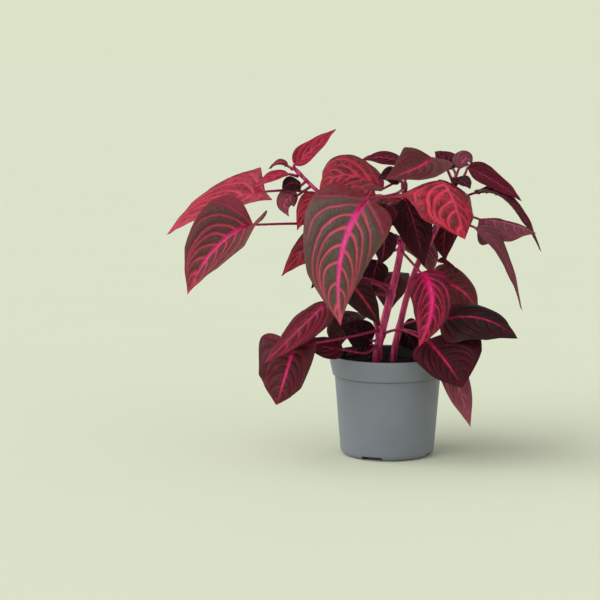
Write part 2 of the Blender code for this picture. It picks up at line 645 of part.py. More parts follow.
        stem="stem_back", stalk=((-16, 42, 182), (-12, 58, 190)), look="leaf_dark",
        base=(-8, 70, 190), mid=(4, 104, 178), tip=(6, 134, 136), width=60,
        face=(0, 0.35, 0.93), fold=6, droop=24, grid=MIDDLE),
    "leaf_back_low_right": dict(
        stem="stem_right", stalk=((22, 11, 180), (34, 26, 188)), look="leaf_dark",
        base=(42, 40, 188), mid=(62, 70, 174), tip=(72, 100, 130), width=56,
        face=(0.2, 0.35, 0.9), fold=6, droop=24, grid=MIDDLE),
    "leaf_back_rim": dict(
        stem="stem_back", stalk=((-11, 34, 142), (-22, 50, 150)), look="leaf_dark",
        base=(-30, 60, 148), mid=(-46, 86, 134), tip=(-56, 112, 92), width=54,
        face=(-0.1, 0.35, 0.93), fold=6, droop=24, grid=MIDDLE),
    "leaf_back_tip": dict(
        stem="stem_back", stalk=((-22, 54, 266),), look="leaf_red",
        base=(-23, 54, 273), mid=(-26, 62, 290), tip=(-32, 72, 302), width=26,
        face=(0.2, -0.5, 0.8), fold=14, droop=20, lobe=0.05, grid=SMALL),
}


def main():
    for obj in list(bpy.data.objects):
        bpy.data.objects.remove(obj, do_unlink=True)
    parts = bpy.data.collections.new("potted_bloodleaf")
    cutters = bpy.data.collections.new("cutters")
    bpy.context.scene.collection.children.link(parts)
    bpy.context.scene.collection.children.link(cutters)
    build_pot(parts, cutters)
    stems, keepers = build_stems(parts, cutters)
    build_soil(parts, cutters, keepers)
    for name, spec in LEAVES.items():
        build_leaf(name, spec, parts, cutters, keepers)
    for keeper in list(cutters.objects):
        discard(keeper)


main()
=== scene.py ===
"""Potted bloodleaf: the grown plant's surfaces, and the pot and soil that hold it.

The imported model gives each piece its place, in metres, +Z up. Lengths in the
tables are millimetres, multiplied by MM where a mesh is made.
"""
import math

import bmesh
import bpy
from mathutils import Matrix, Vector, noise


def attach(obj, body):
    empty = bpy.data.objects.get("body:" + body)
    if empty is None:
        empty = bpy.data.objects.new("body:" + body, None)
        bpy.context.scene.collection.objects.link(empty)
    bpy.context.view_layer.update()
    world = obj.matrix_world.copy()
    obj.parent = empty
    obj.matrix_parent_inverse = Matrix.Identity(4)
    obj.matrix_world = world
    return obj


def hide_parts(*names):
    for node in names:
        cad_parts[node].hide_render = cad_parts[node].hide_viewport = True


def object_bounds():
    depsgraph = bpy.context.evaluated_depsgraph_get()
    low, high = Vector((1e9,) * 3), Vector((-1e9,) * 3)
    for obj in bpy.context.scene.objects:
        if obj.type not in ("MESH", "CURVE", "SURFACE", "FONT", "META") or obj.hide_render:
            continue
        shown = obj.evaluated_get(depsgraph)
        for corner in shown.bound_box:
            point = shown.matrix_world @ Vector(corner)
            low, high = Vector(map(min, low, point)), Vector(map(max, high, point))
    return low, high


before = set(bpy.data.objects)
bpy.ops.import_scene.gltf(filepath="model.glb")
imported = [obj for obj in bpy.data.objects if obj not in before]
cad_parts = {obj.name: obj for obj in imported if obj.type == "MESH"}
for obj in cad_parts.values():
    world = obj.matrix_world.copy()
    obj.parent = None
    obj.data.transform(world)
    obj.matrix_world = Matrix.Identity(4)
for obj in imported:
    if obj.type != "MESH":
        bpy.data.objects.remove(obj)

cad_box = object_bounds()


# The nursery pot is one moulded shell of matt grey polypropylene with a wider
# collar below its rim. Four slots through the foot drain it, and a small gate
# mark stands on its front. Its mesh is turned, then the slots are cut.
MM = 0.001
POT_HEIGHT = 111.0
RIM_RADIUS = 65.0
COLLAR_DROP = 22.5
COLLAR_LOW_RADIUS = 60.6
BODY_TOP_RADIUS = 58.2
FOOT_RADIUS = 51.9
FOOT_ROUND = 7.0
WALL = 1.5
FLOOR = 2.2
POT_STEPS = 180
SLOT_WIDTH = 24.0
SLOT_HEIGHT = 4.6
SLOT_INNER = 37.0
SLOT_OVERRUN = 10.0
SLOT_ANGLES = (-112.0, -22.0, 68.0, 158.0)
GATE_MARK = (-3.0, -57.6, 78.0)
POT_GREY = (129, 133, 147)
POT_DUST = (138, 142, 152)
POT_SCUFF = (118, 122, 134)
POT_PAINTED_SHADE = (46, 40, 38)
POT_GLOSS = 0.4
INNER_SHADE_LOW = 93.0
SCUFF_HIGH = 9.0
DUST_DEEP = 4.0
GATE_RADIUS = 2.2
GRAIN_DEEP = 0.12
TURN_MERGE = 0.01
SHARP_ANGLE = 32


def linear(colour):
    """A screen colour, 0 to 255 a channel, as the linear values that Blender works in."""
    values = []
    for channel in colour:
        share = channel / 255
        values.append(share / 12.92 if share < 0.04045 else ((share + 0.055) / 1.055) ** 2.4)
    return (*values, 1.0)


class Term:
    """A number, a direction or a shape in a node tree. A sum on it adds the node that does it."""

    def __init__(self, tree, socket):
        self.tree = tree
        self.socket = socket
        self.wide = socket.type in ("VECTOR", "RGBA")

    def _sum(self, operation, first, second):
        wide = any(getattr(term, "wide", False) for term in (first, second))
        return (direction if wide else number)(self.tree, operation, first, second)

    def __add__(self, other):
        return self._sum("ADD", self, other)

    def __radd__(self, other):
        return self._sum("ADD", other, self)

    def __sub__(self, other):
        return self._sum("SUBTRACT", self, other)

    def __rsub__(self, other):
        return self._sum("SUBTRACT", other, self)

    def __mul__(self, other):
        if self.wide:
            return direction(self.tree, "SCALE", self, other)
        return number(self.tree, "MULTIPLY", self, other)

    def __truediv__(self, other):
        return number(self.tree, "DIVIDE", self, other)

    def __rtruediv__(self, other):
        return number(self.tree, "DIVIDE", other, self)

    def __pow__(self, other):
        return number(self.tree, "POWER", self, other)


def feed(tree, socket, term):
    """Give a socket a constant, or the socket that a Term stands for."""
    if isinstance(term, Term):
        tree.links.new(term.socket, socket)
    else:
        socket.default_value = term


def step(tree, kind, settings=None, output=0, **terms):
    """Add a node and return one output; terms are named after its inputs, with _ for a space."""
    node = tree.nodes.new(kind)
    for key, value in (settings or {}).items():
        setattr(node, key, value)
    for key, term in terms.items():
        feed(tree, node.inputs[key.replace("_", " ")], term)
    return Term(tree, node.outputs[output])


def number(tree, operation, *terms):
    """One step of arithmetic on numbers."""
    node = tree.nodes.new("ShaderNodeMath")
    node.operation = operation
    for socket, term in zip(node.inputs, terms):
        feed(tree, socket, term)
    return Term(tree, node.outputs[0])


def direction(tree, operation, *terms):
    """One step on directions or positions. A length and a dot product are plain numbers."""
    node = tree.nodes.new("ShaderNodeVectorMath")
    node.operation = operation
    feed(tree, node.inputs[0], terms[0])
    if operation == "SCALE":
        feed(tree, node.inputs["Scale"], terms[1])
    elif len(terms) > 1:
        feed(tree, node.inputs[1], terms[1])
    plain = operation in ("DOT_PRODUCT", "LENGTH")
    return Term(tree, node.outputs["Value" if plain else "Vector"])


def ramp(term, low, high, start=0.0, stop=1.0):
    """Goes smoothly from start to stop while a term goes from low to high."""
    node = term.tree.nodes.new("ShaderNodeMapRange")
    node.interpolation_type = "SMOOTHSTEP"
    for socket, value in zip(node.inputs, (term, low, high, start, stop)):
        feed(term.tree, socket, value)
    return Term(term.tree, node.outputs[0])


def blend(share, first, second):
    """One colour over another, by a share from 0 to 1."""
    node = share.tree.nodes.new("ShaderNodeMix")
    node.data_type = "RGBA"
    feed(share.tree, node.inputs[0], share)
    for socket, colour in ((node.inputs[6], first), (node.inputs[7], second)):
        feed(share.tree, socket, colour)
    return Term(share.tree, node.outputs[2])


def mottle(tree, where, scale, detail):
    """Cloudy noise on a position in millimetres; scale is in patches a millimetre."""
    return step(tree, "ShaderNodeTexNoise", Vector=where, Scale=scale, Detail=detail)


def new_finish(name, rough, specular):
    """A new material, its tree and shader, and the position on the piece in millimetres."""
    finish = bpy.data.materials.new(name)
    finish.use_nodes = True
    tree = finish.node_tree
    shader = tree.nodes["Principled BSDF"]
    shader.inputs["Roughness"].default_value = rough
    shader.inputs["Specular IOR Level"].default_value = specular
    return finish, tree, shader, step(tree, "ShaderNodeTexCoord", output="Object") * (1 / MM)


def raise_surface(tree, shader, height, distance):
    """Bump from a height term; distance is in millimetres."""
    bump = step(tree, "ShaderNodeBump", Distance=distance * MM, Height=height)
    feed(tree, shader.inputs["Normal"], bump)


def parted(where):
    """The three parts of a position."""
    node = step(where.tree, "ShaderNodeSeparateXYZ", Vector=where).socket.node
    return [Term(where.tree, socket) for socket in node.outputs]


def grey_plastic():
    """Matt moulded polypropylene: fine grain, faint flow marks, dust above, scuffs at the foot, and painted
    shade on the inner wall above the soil and under the collar.
    """
    finish, tree, shader, where = new_finish("grey_plastic", 0.52, POT_GLOSS)
    z = parted(where)[2]
    flow = mottle(tree, where, 0.012, 2.0)
    cloud = mottle(tree, where, 0.03, 4.0)
    speck = mottle(tree, where, 0.9, 2.0)
    shade = blend(ramp(flow, 0.35, 0.65, 0.0, 0.35), linear(POT_GREY), linear(POT_SCUFF))
    shade = blend(ramp(cloud, 0.45, 0.7, 0.0, 0.3), shade, linear(POT_DUST))
    foot = ramp(z, 0.0, SCUFF_HIGH, 1.0, 0.0) * ramp(speck, 0.5, 0.62)
    shade = blend(foot * 0.5, shade, linear(POT_SCUFF))
    collar = ramp(z, POT_HEIGHT - DUST_DEEP, POT_HEIGHT, 0.0, 0.25)
    shade = blend(collar, shade, linear(POT_DUST))

    # Painted shade: the inner wall above the crust is darkened nearly to the soil's colour, and loses
    # nearly all of its shine
    outer_wall = (z - POT_HEIGHT) * ((RIM_RADIUS - COLLAR_LOW_RADIUS) / COLLAR_DROP) + RIM_RADIUS
    from_axis = direction(tree, "LENGTH", direction(tree, "MULTIPLY", where, (1.0, 1.0, 0.0)))
    inside = ramp(outer_wall - from_axis, 0.9, 1.3) * ramp(z, INNER_SHADE_LOW, INNER_SHADE_LOW + 3.0)
    inner_painted_shade = inside * ramp(z + speck * 3.0, POT_HEIGHT - 1.0, POT_HEIGHT + 2.0, 0.95, 0.0)
    shade = blend(inner_painted_shade, shade, linear(POT_PAINTED_SHADE))

    # Painted shadow in the corner under the collar
    from_step = number(tree, "ABSOLUTE", z - (POT_HEIGHT - COLLAR_DROP - 0.4))
    shade = blend(ramp(from_step, 0.2, 1.3, 0.45, 0.0), shade, linear(POT_PAINTED_SHADE))
    feed(tree, shader.inputs["Base Color"], shade)

    # Moulded grain, the gate mark, and how much the surface shines
    grain = mottle(tree, where, 2.2, 2.0)
    from_gate = direction(tree, "LENGTH", where - Vector(GATE_MARK))
    gate = ramp(from_gate, 1.3, GATE_RADIUS, 1.0, 0.0)
    raise_surface(tree, shader, grain * 0.35 + gate * 2.0, GRAIN_DEEP)
    feed(tree, shader.inputs["Roughness"], ramp(cloud, 0.3, 0.7, 0.46, 0.58) + inner_painted_shade * 0.4)
    feed(tree, shader.inputs["Specular IOR Level"], POT_GLOSS - inner_painted_shade * POT_GLOSS)
    return finish


def pot_outline():
    """Outer side from the rim down, across the base, then up the inner side."""
    collar_step = POT_HEIGHT - COLLAR_DROP
    outer = [
        (RIM_RADIUS - 1.0, POT_HEIGHT),
        (RIM_RADIUS - 0.45, POT_HEIGHT - 0.15),
        (RIM_RADIUS - 0.08, POT_HEIGHT - 0.55),
        (RIM_RADIUS, POT_HEIGHT - 1.1),
        (RIM_RADIUS - 0.1, POT_HEIGHT - 2.2),
        (RIM_RADIUS - 0.45, POT_HEIGHT - 3.2),
        (COLLAR_LOW_RADIUS + 0.1, collar_step + 1.6),
        (COLLAR_LOW_RADIUS, collar_step + 0.9),
        (COLLAR_LOW_RADIUS - 0.25, collar_step + 0.3),
        (COLLAR_LOW_RADIUS - 0.8, collar_step),
        (BODY_TOP_RADIUS + 0.5, collar_step - 0.15),
        (BODY_TOP_RADIUS, collar_step - 0.8),
        (FOOT_RADIUS, FOOT_ROUND),
    ]
    for k in range(1, 9):
        turn = math.radians(90 * k / 9)
        outer.append((FOOT_RADIUS - FOOT_ROUND * (1 - math.cos(turn)), FOOT_ROUND * (1 - math.sin(turn))))
    outer.append((FOOT_RADIUS - FOOT_ROUND, 0.0))
    outer.append((0.0, 0.0))
    inner = [
        (0.0, FLOOR),
        (FOOT_RADIUS - FOOT_ROUND - 0.5, FLOOR),
        (FOOT_RADIUS - WALL - 1.4, FOOT_ROUND - 1.0),
        (BODY_TOP_RADIUS - WALL, collar_step - 0.2),
        (COLLAR_LOW_RADIUS - WALL, collar_step + 2.4),
        (RIM_RADIUS - WALL - 0.6, POT_HEIGHT - 3.0),
        (RIM_RADIUS - WALL - 0.4, POT_HEIGHT - 0.5),
        (RIM_RADIUS - WALL - 0.1, POT_HEIGHT),
    ]
    return outer, inner


def add_piece(name, mesh):
    piece = bpy.data.objects.new(name, mesh)
    bpy.context.scene.collection.objects.link(piece)
    return piece


def settle(piece):
    """Turn a piece's live modifiers into plain mesh."""
    bpy.context.view_layer.update()
    shape = piece.evaluated_get(bpy.context.evaluated_depsgraph_get())
    mesh = bpy.data.meshes.new_from_object(shape)
    old = piece.data
    piece.modifiers.clear()
    piece.data = mesh
    bpy.data.meshes.remove(old)


def turned_piece(name, profile, steps, finish):
    """A profile of radius and height, top to bottom on its outer side, turned about Z."""
    bm = bmesh.new()
    verts = [bm.verts.new((r * MM, 0.0, z * MM)) for r, z in profile]
    for a, b in zip(verts, verts[1:]):
        bm.edges.new((a, b))
    mesh = bpy.data.meshes.new(name)
    bm.to_mesh(mesh)
    bm.free()
    piece = add_piece(name, mesh)
    screw = piece.modifiers.new("turn", "SCREW")
    screw.steps = steps
    screw.render_steps = steps
    screw.use_merge_vertices = True
    screw.merge_threshold = TURN_MERGE * MM
    settle(piece)
    piece.data.materials.append(finish)
    return piece


def cut_slots(pot):
    """Take the drain slots out of the foot."""
    length = FOOT_RADIUS + SLOT_OVERRUN - SLOT_INNER
    for angle in SLOT_ANGLES:
        bpy.ops.mesh.primitive_cube_add(size=1.0)
        box = bpy.context.object
        turn = math.radians(angle)
        box.scale = (length * MM, SLOT_WIDTH * MM, 2 * SLOT_HEIGHT * MM)
        box.location = Vector((math.cos(turn), math.sin(turn), 0.0)) * (SLOT_INNER + length / 2) * MM
        box.rotation_euler = (0.0, 0.0, turn)
        cut = pot.modifiers.new("slot", "BOOLEAN")
        cut.operation = "DIFFERENCE"
        cut.object = box
        settle(pot)
        bpy.data.objects.remove(box, do_unlink=True)


outer_side, inner_side = pot_outline()
pot_side = outer_side + inner_side + [outer_side[0]]
nursery_pot = turned_piece("nursery_pot", pot_side, POT_STEPS, grey_plastic())
cut_slots(nursery_pot)
nursery_pot.data.shade_smooth()
nursery_pot.data.set_sharp_from_angle(angle=math.radians(SHARP_ANGLE))
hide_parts("pot")
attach(nursery_pot, "root")


# The potting soil is damp dark peat that fills the pot to a little below its rim.
# Its top is a lumpy crust with loose crumbs scattered over it. The stems stand
# in it.
GAP = 0.3
SOIL_TOP = 99.0
SOIL_LUMP = 2.2
SOIL_FINE = 0.8
SOIL_FINEST = 0.35
SOIL_STEPS = 96
SOIL_RINGS = 34
SOIL_RELIEF = 0.8
CRUMB_SIZE = 2.1
CRUMBS_A_SQUARE_METRE = 130000.0
CRUMB_SEED = 7
CRUMB_LEAST = (0.35, 0.3, 0.22)
CRUMB_MOST = (1.6, 1.0, 0.8)
CRUMB_TURN_LEAST = (-0.5, -0.5, 0.0)
CRUMB_TURN_MOST = (0.5, 0.5, 6.28)
CRUMB_DENTS_A_METRE = 900.0
CRUMB_ROUGH = 1.6
CRUMB_CLEAR = 4.0
CRUMB_FACING = 0.3
TOP_MARGIN = 0.01
PEAT_DARK = (26, 19, 16)
PEAT_BROWN = (60, 44, 35)
PEAT_FIBRE = (98, 76, 58)


def wall_inside(height):
    """Inner radius of the pot at a height between its floor and its rim."""
    for (r0, z0), (r1, z1) in zip(inner_side, inner_side[1:]):
        if z0 <= height <= z1 and z1 > z0:
            return r0 + (r1 - r0) * (height - z0) / (z1 - z0)


def damp_peat():
    """Dark fibrous peat, lighter where it has dried."""
    finish, tree, shader, where = new_finish("damp_peat", 0.92, 0.2)
    lump = mottle(tree, where, 0.18, 5.0)
    grit = mottle(tree, where, 1.4, 3.0)
    dry = blend(ramp(lump, 0.42, 0.62), linear(PEAT_DARK), linear(PEAT_BROWN))
    dry = blend(ramp(grit, 0.62, 0.72, 0.0, 0.7), dry, linear(PEAT_FIBRE))
    feed(tree, shader.inputs["Base Color"], dry)
    raise_surface(tree, shader, lump * 1.5 + grit, SOIL_RELIEF)
    return finish


def soil_outline():
    """From the middle of the crust outwards, then down inside the pot's wall to its floor."""
    collar_step = POT_HEIGHT - COLLAR_DROP
    low = FOOT_ROUND + 2.0
    top_radius = wall_inside(SOIL_TOP - SOIL_LUMP) - 2 * GAP
    rings = [(top_radius * k / SOIL_RINGS, SOIL_TOP) for k in range(SOIL_RINGS + 1)]
    return rings + [
        (wall_inside(collar_step + 2.4) - GAP, collar_step + 2.4),
        (wall_inside(collar_step - 0.2) - GAP, collar_step - 0.2),
        (wall_inside(low) - GAP, low),
        (FOOT_RADIUS - FOOT_ROUND - 1.2, FLOOR + GAP),
        (0.0, FLOOR + GAP),
    ]


def soil_height(x, y):
    """Lumps of the crust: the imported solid's own, and finer ones on them."""
    broad = noise.noise(Vector((x, y, 0)) * 0.07) * SOIL_LUMP
    fine = noise.noise(Vector((x, y, 4)) * 0.22) * SOIL_FINE
    return SOIL_TOP + broad + fine + noise.noise(Vector((x, y, 9)) * 0.7) * SOIL_FINEST


def tree_inputs(tree, inputs):
    """Give a tree its named inputs and its geometry output; returns the input terms by name."""
    tree.interface.new_socket(name="Geometry", in_out="INPUT", socket_type="NodeSocketGeometry")
    for name, kind in inputs.items():
        tree.interface.new_socket(name=name, in_out="INPUT", socket_type="NodeSocket" + kind)
    tree.interface.new_socket(name="Geometry", in_out="OUTPUT", socket_type="NodeSocketGeometry")
    start = tree.nodes.new("NodeGroupInput")
    return {socket.name: Term(tree, socket) for socket in start.outputs if socket.name}


def end_tree(tree, shape, finishes):
    """Last steps of every tree: real geometry, then a material for each choice of its faces."""
    shape = step(tree, "GeometryNodeRealizeInstances", Geometry=shape)
    for finish, faces in finishes:
        shape = step(tree, "GeometryNodeSetMaterial", Geometry=shape, Selection=faces, Material=finish)
    feed(tree, tree.nodes.new("NodeGroupOutput").inputs[0], shape)


def grow(piece, tree, **inputs):
    """Run a tree on a piece, set its inputs by identifier, and leave plain mesh."""
    shaping = piece.modifiers.new(tree.name, "NODES")
    shaping.node_group = tree
    for item in tree.interface.items_tree:
        key = item.name.replace(" ", "_")
        if item.in_out == "INPUT" and key in inputs:
            shaping[item.identifier] = inputs[key]
    settle(piece)


def crumb_tree():
    """Crumbs scattered over the faces of a soil crust, each turned and sized on its own."""
    tree = bpy.data.node_groups.new("soil crumbs", "GeometryNodeTree")
    give = tree_inputs(tree, {"Amount": "Float", "Size": "Float", "Seed": "Int", "Finish": "Material"})
    points = step(tree, "GeometryNodeDistributePointsOnFaces", Mesh=give["Geometry"],
        Density=give["Amount"], Seed=give["Seed"])
    vector = {"data_type": "FLOAT_VECTOR"}
    size = step(tree, "FunctionNodeRandomValue", vector, Min=CRUMB_LEAST, Max=CRUMB_MOST, Seed=3)
    turn = step(tree, "FunctionNodeRandomValue", vector, Min=CRUMB_TURN_LEAST, Max=CRUMB_TURN_MOST, Seed=5)
    ball = step(tree, "GeometryNodeMeshIcoSphere", Subdivisions=2, Radius=give["Size"])
    dents = step(tree, "ShaderNodeTexNoise", output="Color", Scale=CRUMB_DENTS_A_METRE)
    push = (dents - Vector((0.5, 0.5, 0.5))) * give["Size"] * CRUMB_ROUGH
    crumb = step(tree, "GeometryNodeSetPosition", Geometry=ball, Offset=push)
    crumbs = step(tree, "GeometryNodeInstanceOnPoints", Points=points, Instance=crumb, Rotation=turn,
        Scale=size)
    end_tree(tree, crumbs, [(give["Finish"], True)])
    return tree


peat = damp_peat()
potting_soil = turned_piece("potting_soil", soil_outline(), SOIL_STEPS, peat)
for vert in potting_soil.data.vertices:
    x, y, z = vert.co / MM
    if z > SOIL_TOP - TOP_MARGIN:
        vert.co.z = soil_height(x, y) * MM
potting_soil.data.shade_smooth()
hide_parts("soil")
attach(potting_soil, "root")

crust = bmesh.new()
crust.from_mesh(potting_soil.data)
reach = (wall_inside(SOIL_TOP - SOIL_LUMP) - CRUMB_CLEAR) * MM
away = [face for face in crust.faces
        if face.normal.z < CRUMB_FACING or face.calc_center_median().xy.length > reach]
bmesh.ops.delete(crust, geom=away, context="FACES")
crust_mesh = bpy.data.meshes.new("soil_crumbs")
crust.to_mesh(crust_mesh)
crust.free()
soil_crumbs = add_piece("soil_crumbs", crust_mesh)
grow(soil_crumbs, crumb_tree(), Amount=CRUMBS_A_SQUARE_METRE, Size=CRUMB_SIZE * MM, Seed=CRUMB_SEED,
    Finish=peat)
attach(soil_crumbs, "root")


# The stems are soft, smooth and magenta, swollen at the joints that leaves grow
# from. They stand in the soil, and the main one carries a side shoot. Each is a
# round tube along its centre line, with pale streaks along it.
STEM_LOOK = {"skin": (232, 50, 128), "deep": (152, 18, 80), "light": (238, 104, 160), "old": (130, 44, 68)}
STEM_GIRTH = 5.0
STEM_SIDES = 18
STEM_STEP = 2.0
JOINT_SWELL = 0.22
JOINT_REACH = 3.6
OLD_SKIN_HIGH = 20.0
STREAK_DEEP = 0.35
# The runs of each stem, with the radius at the two ends and the heights of the joints
STEMS = {
    "stem_main": [
        dict(knots=((-13, -8, 64), (-12, -8, 109), (-8, -8, 132), (3, -7, 177), (10, -3, 206), (16, 0, 240),
                    (18, 1, 272), (17, 2, 300)),
             radii=(5.2, 3.2), joints=(134, 177, 226, 262, 296)),
        dict(knots=((15, 0, 232), (-6, -6, 244), (-36, -12, 258), (-62, -18, 278), (-84, -22, 298),
                    (-104, -22, 318)),
             radii=(2.9, 2.0), joints=(250, 284, 312)),
    ],
    "stem_right": [
        dict(knots=((5, 13, 64), (8, 13, 111), (14, 13, 140), (22, 11, 175), (34, 7, 212), (50, 2, 244),
                    (63, -4, 276), (72, -8, 306)),
             radii=(4.2, 2.6), joints=(138, 190, 224, 262, 300)),
    ],
    "stem_back": [
        dict(knots=((-6, 26, 64), (-8, 28, 111), (-12, 36, 150), (-18, 46, 195), (-22, 52, 235),
                    (-22, 54, 268)),
             radii=(3.8, 2.4), joints=(142, 182, 222, 262)),
    ],
}


def magenta_skin(name, look, girth_mm):
    """Smooth skin with pale streaks along the stem, browner near the soil."""
    finish, tree, shader, where = new_finish(name, 0.34, 0.5)
    z = parted(where)[2]
    stretched = direction(tree, "MULTIPLY", where, (1.0, 1.0, 0.10))
    streak = mottle(tree, stretched, 1.6 / girth_mm, 3.0)
    cloud = mottle(tree, where, 0.06, 3.0)
    shade = blend(ramp(streak, 0.38, 0.6), linear(look["deep"]), linear(look["skin"]))
    shade = blend(ramp(streak, 0.56, 0.7, 0.0, 0.6), shade, linear(look["light"]))
    shade = blend(ramp(cloud, 0.4, 0.7, 0.0, 0.45), shade, linear(look["deep"]))
    shade = blend(ramp(z, SOIL_TOP - 2.0, SOIL_TOP + OLD_SKIN_HIGH, 0.6, 0.0), shade, linear(look["old"]))
    feed(tree, shader.inputs["Base Color"], shade)
    raise_surface(tree, shader, streak, STREAK_DEEP)
    return finish


def smooth_path(knots, spacing):
    """Catmull-Rom points through the knots, about one spacing apart."""
    knots = [Vector(k) for k in knots]
    ends = [2 * knots[0] - knots[1]] + knots + [2 * knots[-1] - knots[-2]]
    points = [knots[0]]
    for i in range(1, len(ends) - 2):
        a, b, c, d = ends[i - 1:i + 3]
        pieces = max(1, round((c - b).length / spacing))
        for k in range(1, pieces + 1):
            t = k / pieces
            points.append(0.5 * (2 * b + (c - a) * t + (2 * a - 5 * b + 4 * c - d) * t ** 2
                                 + (3 * b - a - 3 * c + d) * t ** 3))
    return points


def stem_run(knots, radii, joints):
    """Centre line of a run of stem, and its radius at each point, swollen at each joint."""
    points = smooth_path(knots, STEM_STEP)
    thick, thin = radii
    girths = []
    for k, point in enumerate(points):
        radius = thick + (thin - thick) * k / (len(points) - 1)
        near = min(abs(point.z - height) for height in joints)
        girths.append(radius * (1 + JOINT_SWELL * math.exp(-(near / JOINT_REACH) ** 2)))
    return points, girths


def centre_lines(name, runs):
    """A mesh of loose edges along centre lines, with the girth kept at each point."""
    bm = bmesh.new()
    girth = bm.verts.layers.float.new("girth")
    for points, girths in runs:
        verts = []
        for point, radius in zip(points, girths):
            vert = bm.verts.new(Vector(point) * MM)
            vert[girth] = radius * MM
            verts.append(vert)
        for a, b in zip(verts, verts[1:]):
            bm.edges.new((a, b))
    mesh = bpy.data.meshes.new(name)
    bm.to_mesh(mesh)
    bm.free()
    return mesh


def tube_nodes(tree, lines, sides):
    """Smooth round tubes with closed ends along centre lines."""
    girth = step(tree, "GeometryNodeInputNamedAttribute", {"data_type": "FLOAT"}, Name="girth")
    curve = step(tree, "GeometryNodeMeshToCurve", Mesh=lines)
    ring = step(tree, "GeometryNodeCurvePrimitiveCircle", Resolution=sides, Radius=1.0)
    skin = step(tree, "GeometryNodeCurveToMesh", Curve=curve, Profile_Curve=ring, Scale=girth,
        Fill_Caps=True)
    return step(tree, "GeometryNodeSetShadeSmooth", Geometry=skin)


def stem_tree():
    """A tube along the piece's own line."""
    tree = bpy.data.node_groups.new("stem", "GeometryNodeTree")
    give = tree_inputs(tree, {"Sides": "Int", "Finish": "Material"})
    end_tree(tree, tube_nodes(tree, give["Geometry"], give["Sides"]), [(give["Finish"], True)])
    return tree


stem_skin = magenta_skin("stem_skin", STEM_LOOK, STEM_GIRTH)
stem_maker = stem_tree()
for node_name, runs in STEMS.items():
    lines = [stem_run(**run) for run in runs]
    stem = add_piece(node_name.replace("stem_", "") + "_stem", centre_lines(node_name, lines))
    grow(stem, stem_maker, Sides=STEM_SIDES, Finish=stem_skin)
    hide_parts(node_name)
    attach(stem, "root")


# Each leaf is a thin heart-shaped blade on its own stalk, puffed up between its
# side veins, which leave the midrib, arch towards the tip and run together near
# the margin. One tree grows all of them from their measures.
BLADE_THICK = 0.42
MIDRIB_DEEP = 1.25
MIDRIB_SUNK = 0.45
MIDRIB_HALF = 1.5
LATERAL_DEEP = 0.45
LATERAL_HALF = 0.9
SLANT = 0.17
BOW = 1.8
ARCH = 1.05
ARCH_AT_BASE = 0.3
ARCH_GAIN = 3.0
ARCH_END = 0.86
STALK_RADIUS = 1.5
STALK_SIDES = 12
STALK_STEP = 2.5
STALK_BELOW = 0.5
STALK_SINK = 0.2
STALK_RUN_ON = 0.10
STALK_TAPER = 4
BASE_FOLD = 14
WAVE = 0.05
WAVES = 2.5
PUFF = 0.9
CRINKLE = 1.2
LADDER_STEP = 3.4
LEAF_ROUGH = 0.42
# Grey that the painted sheen between the veins tends to, and how much of it
SHEEN_GREY = 150
SHEEN_SHARE = 0.14
# How much paler the painted highlight along the midrib's crest is
RIB_GLINT_PALE = 0.4
SKIN_RELIEF = 0.3
MARGIN_MERGE = 0.002
BOX_MARGIN = 0.02
# Rows from base to tip and columns from margin to margin of the fine blade,
# with the number of side veins on each half
BIG = (150, 64, 7.6)
LONG = (120, 52, 7.0)
MIDDLE = (90, 40, 6.4)
SMALL = (54, 24, 5.0)


def to_whole(term):
    """How far a number is from the nearest whole one."""
    part_way = number(term.tree, "FRACT", term)
    return 0.5 - number(term.tree, "ABSOLUTE", part_way - 0.5)


def keep(shape, name, value, kind, domain="FACE"):
    """Keep a value on the surface, where a material or a later step reads it."""
    return step(shape.tree, "GeometryNodeStoreNamedAttribute", {"data_type": kind, "domain": domain},
        Geometry=shape, Name=name, Value=value)


